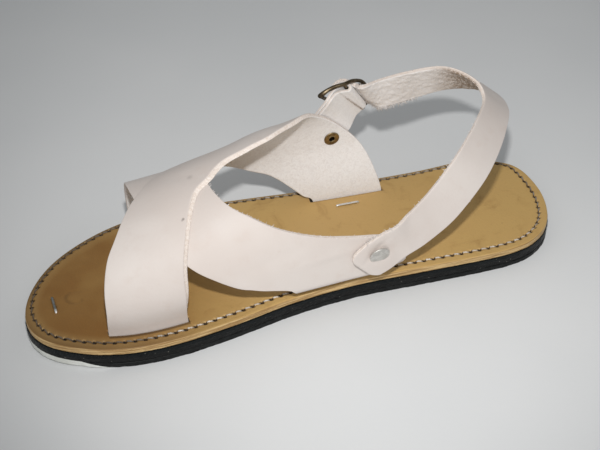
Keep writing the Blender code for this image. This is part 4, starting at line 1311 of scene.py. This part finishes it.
def footbed_relief(points, inset, across, share):
    """Height of the footbed's face over its plane, and its painted shade: 1 inside stitch holes and slots,
    less along the slot lips and round the staples.
    """
    place = share * STITCHES - 0.5
    along = (place - np.round(place)) / STITCHES * LINE_LENGTH
    turn_along = along * math.cos(HOLE_SLANT) + across * math.sin(HOLE_SLANT)
    turn_across = across * math.cos(HOLE_SLANT) - along * math.sin(HOLE_SLANT)
    inside = 1 - (turn_along / HOLE_LONG) ** 2 - (turn_across / HOLE_WIDE) ** 2
    height = -HOLE_DEPTH * np.sqrt(np.clip(inside, 0, 1))
    height -= GROOVE_DEEP * np.exp(-((across / GROOVE_WIDE) ** 2))
    hole = np.clip(1.6 * inside, 0, 1)
    middle = smooth_column(PLAN, 1, points[:, 0])
    for rear, front, side in slot_spans():
        depth = slot_inset(points[:, 0], side) - lateral_full(points[:, 0], side)
        within = (points[:, 0] > rear) & (points[:, 0] < front) & ((points[:, 1] - middle) * side > 0)
        cut = (inset > depth - STRAP_THICK - SLOT_GAP) & (inset < depth + SLOT_GAP)
        # Painted shadow just outside each slot, under the strap's overhang
        shade_place = depth - STRAP_THICK - SLOT_GAP - SLOT_SHADE_OUT
        slot_shade = SLOT_SHADE * np.exp(-(((inset - shade_place) / SLOT_SHADE_WIDE) ** 2))
        hole = np.where(within, np.maximum(hole, slot_shade), hole)
        height = np.where(within & cut, -SLOT_DEEP, height)
        hole = np.where(within & cut, 1.0, hole)
    for x1, y1, x2, y2 in STAPLES.values():
        run = np.array([x2 - x1, y2 - y1])
        start = np.array([x1, y1])
        t = np.clip((points - start) @ run / (run @ run), 0, 1)
        gap = np.linalg.norm(points - start - t[:, None] * run, axis=1)
        height -= STAPLE_DENT * np.exp(-((gap / STAPLE_DENT_WIDE) ** 2))
        # Painted shadow outline round each staple, where it is pressed in
        hole = np.maximum(hole, 0.42 * np.exp(-((gap / STAPLE_SHADE_WIDE) ** 4)))
    spot = raised(points, 0.0)
    ring_gap = np.linalg.norm(points + TO_ORIGIN[:2] - np.array(RING_MARK[:2]), axis=1) - RING_RADIUS
    height -= RING_DEEP * np.exp(-((ring_gap / RING_EDGE) ** 2))
    return height + 0.00010 * soft_noise(spot, 0.022, 31) + 0.00004 * soft_noise(spot, 0.006, 32), hole


def make_footbed():
    """Footbed in rings from its underside over its cut edge, stitch band and slots to the middle."""
    steps = np.array([0.0, 0.12, 0.22, 0.28, 0.36, 0.45, 0.55, 0.64, 0.72, 0.78, 0.88])
    share = ((np.arange(STITCHES)[:, None] + steps[None, :]) / STITCHES).ravel()
    count = len(share)
    rings, holes, rims = [], [], []

    def put(points, height, hole=None, rim_share=1.0):
        rings.append(raised(points, height + spring(points[:, 0])))
        holes.append(np.zeros(count) if hole is None else hole)
        rims.append(np.broadcast_to(rim_share, count))

    rim = ring(share, np.full(count, INSOLE_INSET))
    for part in (1.0, 0.6, 0.2):
        put(to_spine(rim, part), MIDSOLE_TOP)
    bevel = FOOTBED_BEVEL
    for z in np.linspace(MIDSOLE_TOP, INSOLE_TOP - bevel, 8):
        spot = raised(rim, z)
        uneven = 0.00008 * soft_noise(spot * (1, 1, 4), 0.003, 33) + 0.00006 * soft_noise(spot, 0.0011, 34)
        put(ring(share, INSOLE_INSET - uneven), z)
    stitch_line = stitch_inset(share)
    # Painted shade on the edge's rounding and the outer stitch band, strongest where the stitches run close
    # to the edge
    edge_shade = EDGE_SHADE * (STITCH_INSET - stitch_line) / (STITCH_INSET - STITCH_LATERAL)
    for turn in (25, 50, 72):
        inset = INSOLE_INSET + bevel * (1 - math.cos(math.radians(turn)))
        height = INSOLE_TOP - bevel * (1 - math.sin(math.radians(turn)))
        put(ring(share, np.full(count, inset)), height, edge_shade)
    band_start = stitch_line - STITCH_BAND
    station, side = on_line(share).T
    full = lateral_full(station, side - smooth_column(PLAN, 1, station))
    first_border = SLOT_INSET - STRAP_THICK - SLOT_GAP - BORDER_STEP + full
    places = [FACE_START + (band_start - FACE_START) * part for part in (0.15, 0.4, 0.65, 0.9)]
    places += [stitch_line + across for across in np.linspace(-STITCH_BAND, STITCH_BAND / 2, 7)]
    closing = ((0.75, 0.00004), (1.0, 0.00003), (1.25, 0.00002), (1.5, 0.00001))
    places += [np.minimum(stitch_line + part * STITCH_BAND, first_border - left) for part, left in closing]
    insets = []
    for depth in (SLOT_INSET, SLOT_INSET + TOE_SLOT_SHIFT):
        for border in (depth - STRAP_THICK - SLOT_GAP, depth + SLOT_GAP):
            insets += [border - BORDER_STEP, border + BORDER_STEP]
    places += [inset + full for inset in sorted(insets + list(FACE_INSETS))]
    for place in places:
        points = ring(share, place)
        height, hole = footbed_relief(points, place - full, place - stitch_line, share)
        hole = np.maximum(hole, edge_shade * ease((stitch_line - place) / STITCH_BAND + 0.4))
        put(points, INSOLE_TOP + height, hole, 1 - ease((place - stitch_line) / RIM_BLEND + 0.5))
    inner = ring(share, places[-1])
    for part in np.linspace(0, 1, 15)[1:]:
        points = to_spine(inner, part)
        inside = np.full(count, WELL_INSIDE)
        height, hole = footbed_relief(points, inside, inside, share)
        put(points, INSOLE_TOP + height, hole, 0.0)
    values = {"hole": np.concatenate(holes), "rim": np.concatenate(rims)}
    sole_piece("insole", rings, FOOTBED_LEATHER, values)


def make_stitches():
    """Two-ply thread from hole to hole, drawn down at both ends and slanted across the line."""
    parts, tones = [], []
    t = np.linspace(0, 1, THREAD_STEPS)
    risen = np.sin(math.pi * np.clip((t - 0.20) / 0.60, 0, 1)) ** 0.6
    rise = THREAD_RISE * risen - THREAD_DIVE * np.clip(np.abs(2 * t - 1) - 0.56, 0, 1) / 0.44
    # Painted light along each stitch: bright on its rise, painted shade where it dips into the holes
    lit = ease((t - 0.22) / 0.08) * (1 - 0.70 * ease((t - 0.58) / 0.20))
    draw = np.random.default_rng(SEED + 5)
    for number in range(STITCHES):
        share = (number + 0.5 + t) / STITCHES
        inset = stitch_inset(share) + THREAD_SLANT * (2 * t - 1)
        points = ring(share, inset)
        path = raised(points, INSOLE_TOP + spring(points[:, 0]) + rise - THREAD_SINK) + TO_ORIGIN
        way = unit(np.gradient(path, axis=0))
        side = unit(np.cross(way, [0.0, 0.0, 1.0]))
        up = np.cross(side, way)
        centre = path[len(t) // 2]
        # Thread darker on the far side, round the toe and at the heel end
        near_side = 0.45 + 0.55 * ease((centre[1] + 0.005) / 0.03)
        unbrowned = near_side * ease((0.100 - centre[0]) / 0.04) * draw.uniform(0.7, 1.0)
        unbrowned = unbrowned * (1 - 0.65 * ease((-0.108 - centre[0]) / 0.016))
        for ply in (0.0, math.pi):
            turn = 4.0 * math.pi * t + ply + number
            twist = np.cos(turn)[:, None] * side + np.sin(turn)[:, None] * up
            parts.append(tube(path + 0.8 * PLY_RADIUS * twist, PLY_RADIUS, THREAD_SIDES))
            tones.append(np.repeat(lit[::-1] * (0.10 + 0.90 * unbrowned), THREAD_SIDES))
    points, faces = joined(parts)
    add_piece("edge_stitching", points, faces, THREAD, None, {"tone": np.concatenate(tones)})


# Fittings


def make_staples():
    """Flattened wire staples, the toe one dull with a painted highlight at one end."""
    for name, (x1, y1, x2, y2) in STAPLES.items():
        share, up = cuts_at(STAPLE_PATH, np.linspace(0, 1, STAPLE_STEPS)).T
        x, y = x1 + share * (x2 - x1), y1 + share * (y2 - y1)
        z = INSOLE_TOP + spring(x) + np.minimum(up, STAPLE_RISE) - STAPLE_SINK
        path = np.stack([x, y, z], axis=1) + TO_ORIGIN
        points, faces = tube(path, STAPLE_RADIUS, STAPLE_SIDES)
        line = np.repeat(path, STAPLE_SIDES, axis=0)
        points = line + (points - line) * np.array([STAPLE_FLAT, STAPLE_FLAT, 1.0])
        finish = STAPLE_DULL if name == "staple_toe" else STAPLE_STEEL
        painted_light = np.repeat(ease((share - 0.80) / 0.12), STAPLE_SIDES)
        add_piece(name, points, faces, finish, name, {"painted_light": painted_light})


def make_rivet(name, place, stack, material, droop=0.0):
    """Rivet through a stack of leather, its outer end drooping by a share."""
    start, axis = rivet_axis(place)
    head = start + axis * stack
    axis = unit(axis - np.array([0.0, 0.0, droop]))
    start = head - axis * stack
    first = unit(np.cross(axis, [1.0, 0.0, 0.2]))
    second = np.cross(axis, first)
    turns = circle(RIVET_SIDES)[:, None]
    spokes = np.cos(turns) * first + np.sin(turns) * second
    grid = np.array([start + axis * (part * stack + step) + spokes * r for r, part, step in RIVET_PROFILE])
    faces = quads(len(grid), RIVET_SIDES, wrap=True)
    # Painted shade in the rivet's hollow, shown on the lateral rivet
    hollow_shade = [float(r < HOLLOW_RADIUS and part < 1.0) for r, part, step in RIVET_PROFILE]
    values = {"painted_light": np.repeat(hollow_shade, RIVET_SIDES)}
    add_piece(name, grid.reshape(-1, 3), faces, material, name, values, weld=True)


def make_buckle():
    """Bent wire frame with its bar, and the prong."""
    loop = np.array(FRAME_LOOP + FRAME_LOOP + FRAME_LOOP)
    keyed = [(index,) + tuple(row) for index, row in enumerate(loop)]
    turn = np.linspace(0, len(FRAME_LOOP), FRAME_STEPS, endpoint=False) + len(FRAME_LOOP)
    path = np.stack([smooth_column(keyed, c, turn) for c in (1, 2, 3)], axis=1) + TO_ORIGIN
    worn = WIRE_RADIUS * (1 + 0.05 * soft_noise(path, 0.004, 41))
    toe_end = np.linalg.norm(path - np.array(FRAME_LOOP[0]) - TO_ORIGIN, axis=1)
    worn = worn * (1 + 0.30 * np.exp(-((toe_end / 0.0045) ** 2)))
    share = np.linspace(0, 1, BAR_STEPS)[:, None]
    bar = np.array(BAR_ENDS[0]) * (1 - share) + np.array(BAR_ENDS[1]) * share + TO_ORIGIN
    points, faces = joined([tube(path, worn, FRAME_SIDES, closed=True), tube(bar, BAR_RADIUS, BAR_SIDES)])
    add_piece("buckle_frame", points, faces, DARK_BRASS, "buckle_frame")
    drawn, off = cuts_at(PRONG_PATH, np.linspace(0, 1, PRONG_STEPS)).T
    path = buckle_point(np.full(len(drawn), PRONG_PLACE), drawn, off)
    points, faces = tube(path, PRONG_RADIUS * np.linspace(1.0, 0.72, len(path)), BAR_SIDES)
    add_piece("buckle_prong", points, faces, DARK_BRASS, "buckle_prong")


# Stage


def make_stage():
    """Wide floor under the sandal."""
    side = np.linspace(-FLOOR_HALF, FLOOR_HALF, FLOOR_STEPS + 1)
    x, y = np.meshgrid(side, side, indexing="ij")
    points = np.stack([x, y, 0 * x], axis=-1).reshape(-1, 3)
    mesh = bpy.data.meshes.new("floor")
    mesh.from_pydata(points.tolist(), [], quads(FLOOR_STEPS + 1, FLOOR_STEPS + 1))
    mesh.materials.append(floor_finish())
    floor = bpy.data.objects.new("floor", mesh)
    bpy.context.scene.collection.objects.link(floor)


def add_lamp(name, place, aim, radius, power, cone, colour):
    """Small studio lamp with a soft-edged cone."""
    lamp = bpy.data.lights.new(name, "SPOT")
    lamp.shadow_soft_size = radius
    lamp.spot_size = math.radians(cone)
    lamp.spot_blend = 1.0
    lamp.energy = power
    lamp.color = colour
    made = bpy.data.objects.new(name, lamp)
    made.location = place
    made.rotation_euler = (Vector(aim) - Vector(place)).to_track_quat("-Z", "Y").to_euler()
    bpy.context.scene.collection.objects.link(made)


def make_light_and_camera():
    """Soft room light, two lamps and the photo's camera."""
    scene = bpy.context.scene
    world = bpy.data.worlds.new("soft_room")
    world.use_nodes = True
    sky = world.node_tree.nodes["Background"]
    sky.inputs["Color"].default_value = SKY_COLOUR
    sky.inputs["Strength"].default_value = FILL
    scene.world = world
    add_lamp("key", KEY_PLACE, KEY_AIM, KEY_RADIUS, KEY_POWER, KEY_CONE, KEY_COLOUR)
    add_lamp("front", FRONT_PLACE, FRONT_AIM, FRONT_RADIUS, FRONT_POWER, FRONT_CONE, FRONT_COLOUR)
    camera = bpy.data.cameras.new("camera")
    camera.sensor_width = SENSOR_WIDTH
    camera.lens = CAMERA_LENS
    made = bpy.data.objects.new("camera", camera)
    made.location = CAMERA_PLACE
    made.rotation_euler = [math.radians(a) for a in CAMERA_TURN]
    scene.collection.objects.link(made)
    scene.camera = made
    scene.view_settings.view_transform = "Standard"


rubber_layer("outsole", 0.0, OUTSOLE_THICK - FIT_GAP, PALE_RUBBER, wall_dye)
rubber_layer("midsole", OUTSOLE_THICK, MIDSOLE_TOP - FIT_GAP, BLACK_RUBBER)
make_footbed()
make_stitches()
make_staples()
make_vamp()
make_ankle_strap()
make_tab()
make_buckle()
make_rivet("rivet_medial", RIVET_MEDIAL, MEDIAL_STACK, RIVET_STEEL, RIVET_DROOP)
make_rivet("rivet_lateral", RIVET_LATERAL, LATERAL_STACK, RIVET_BRASS)
make_stage()
make_light_and_camera()
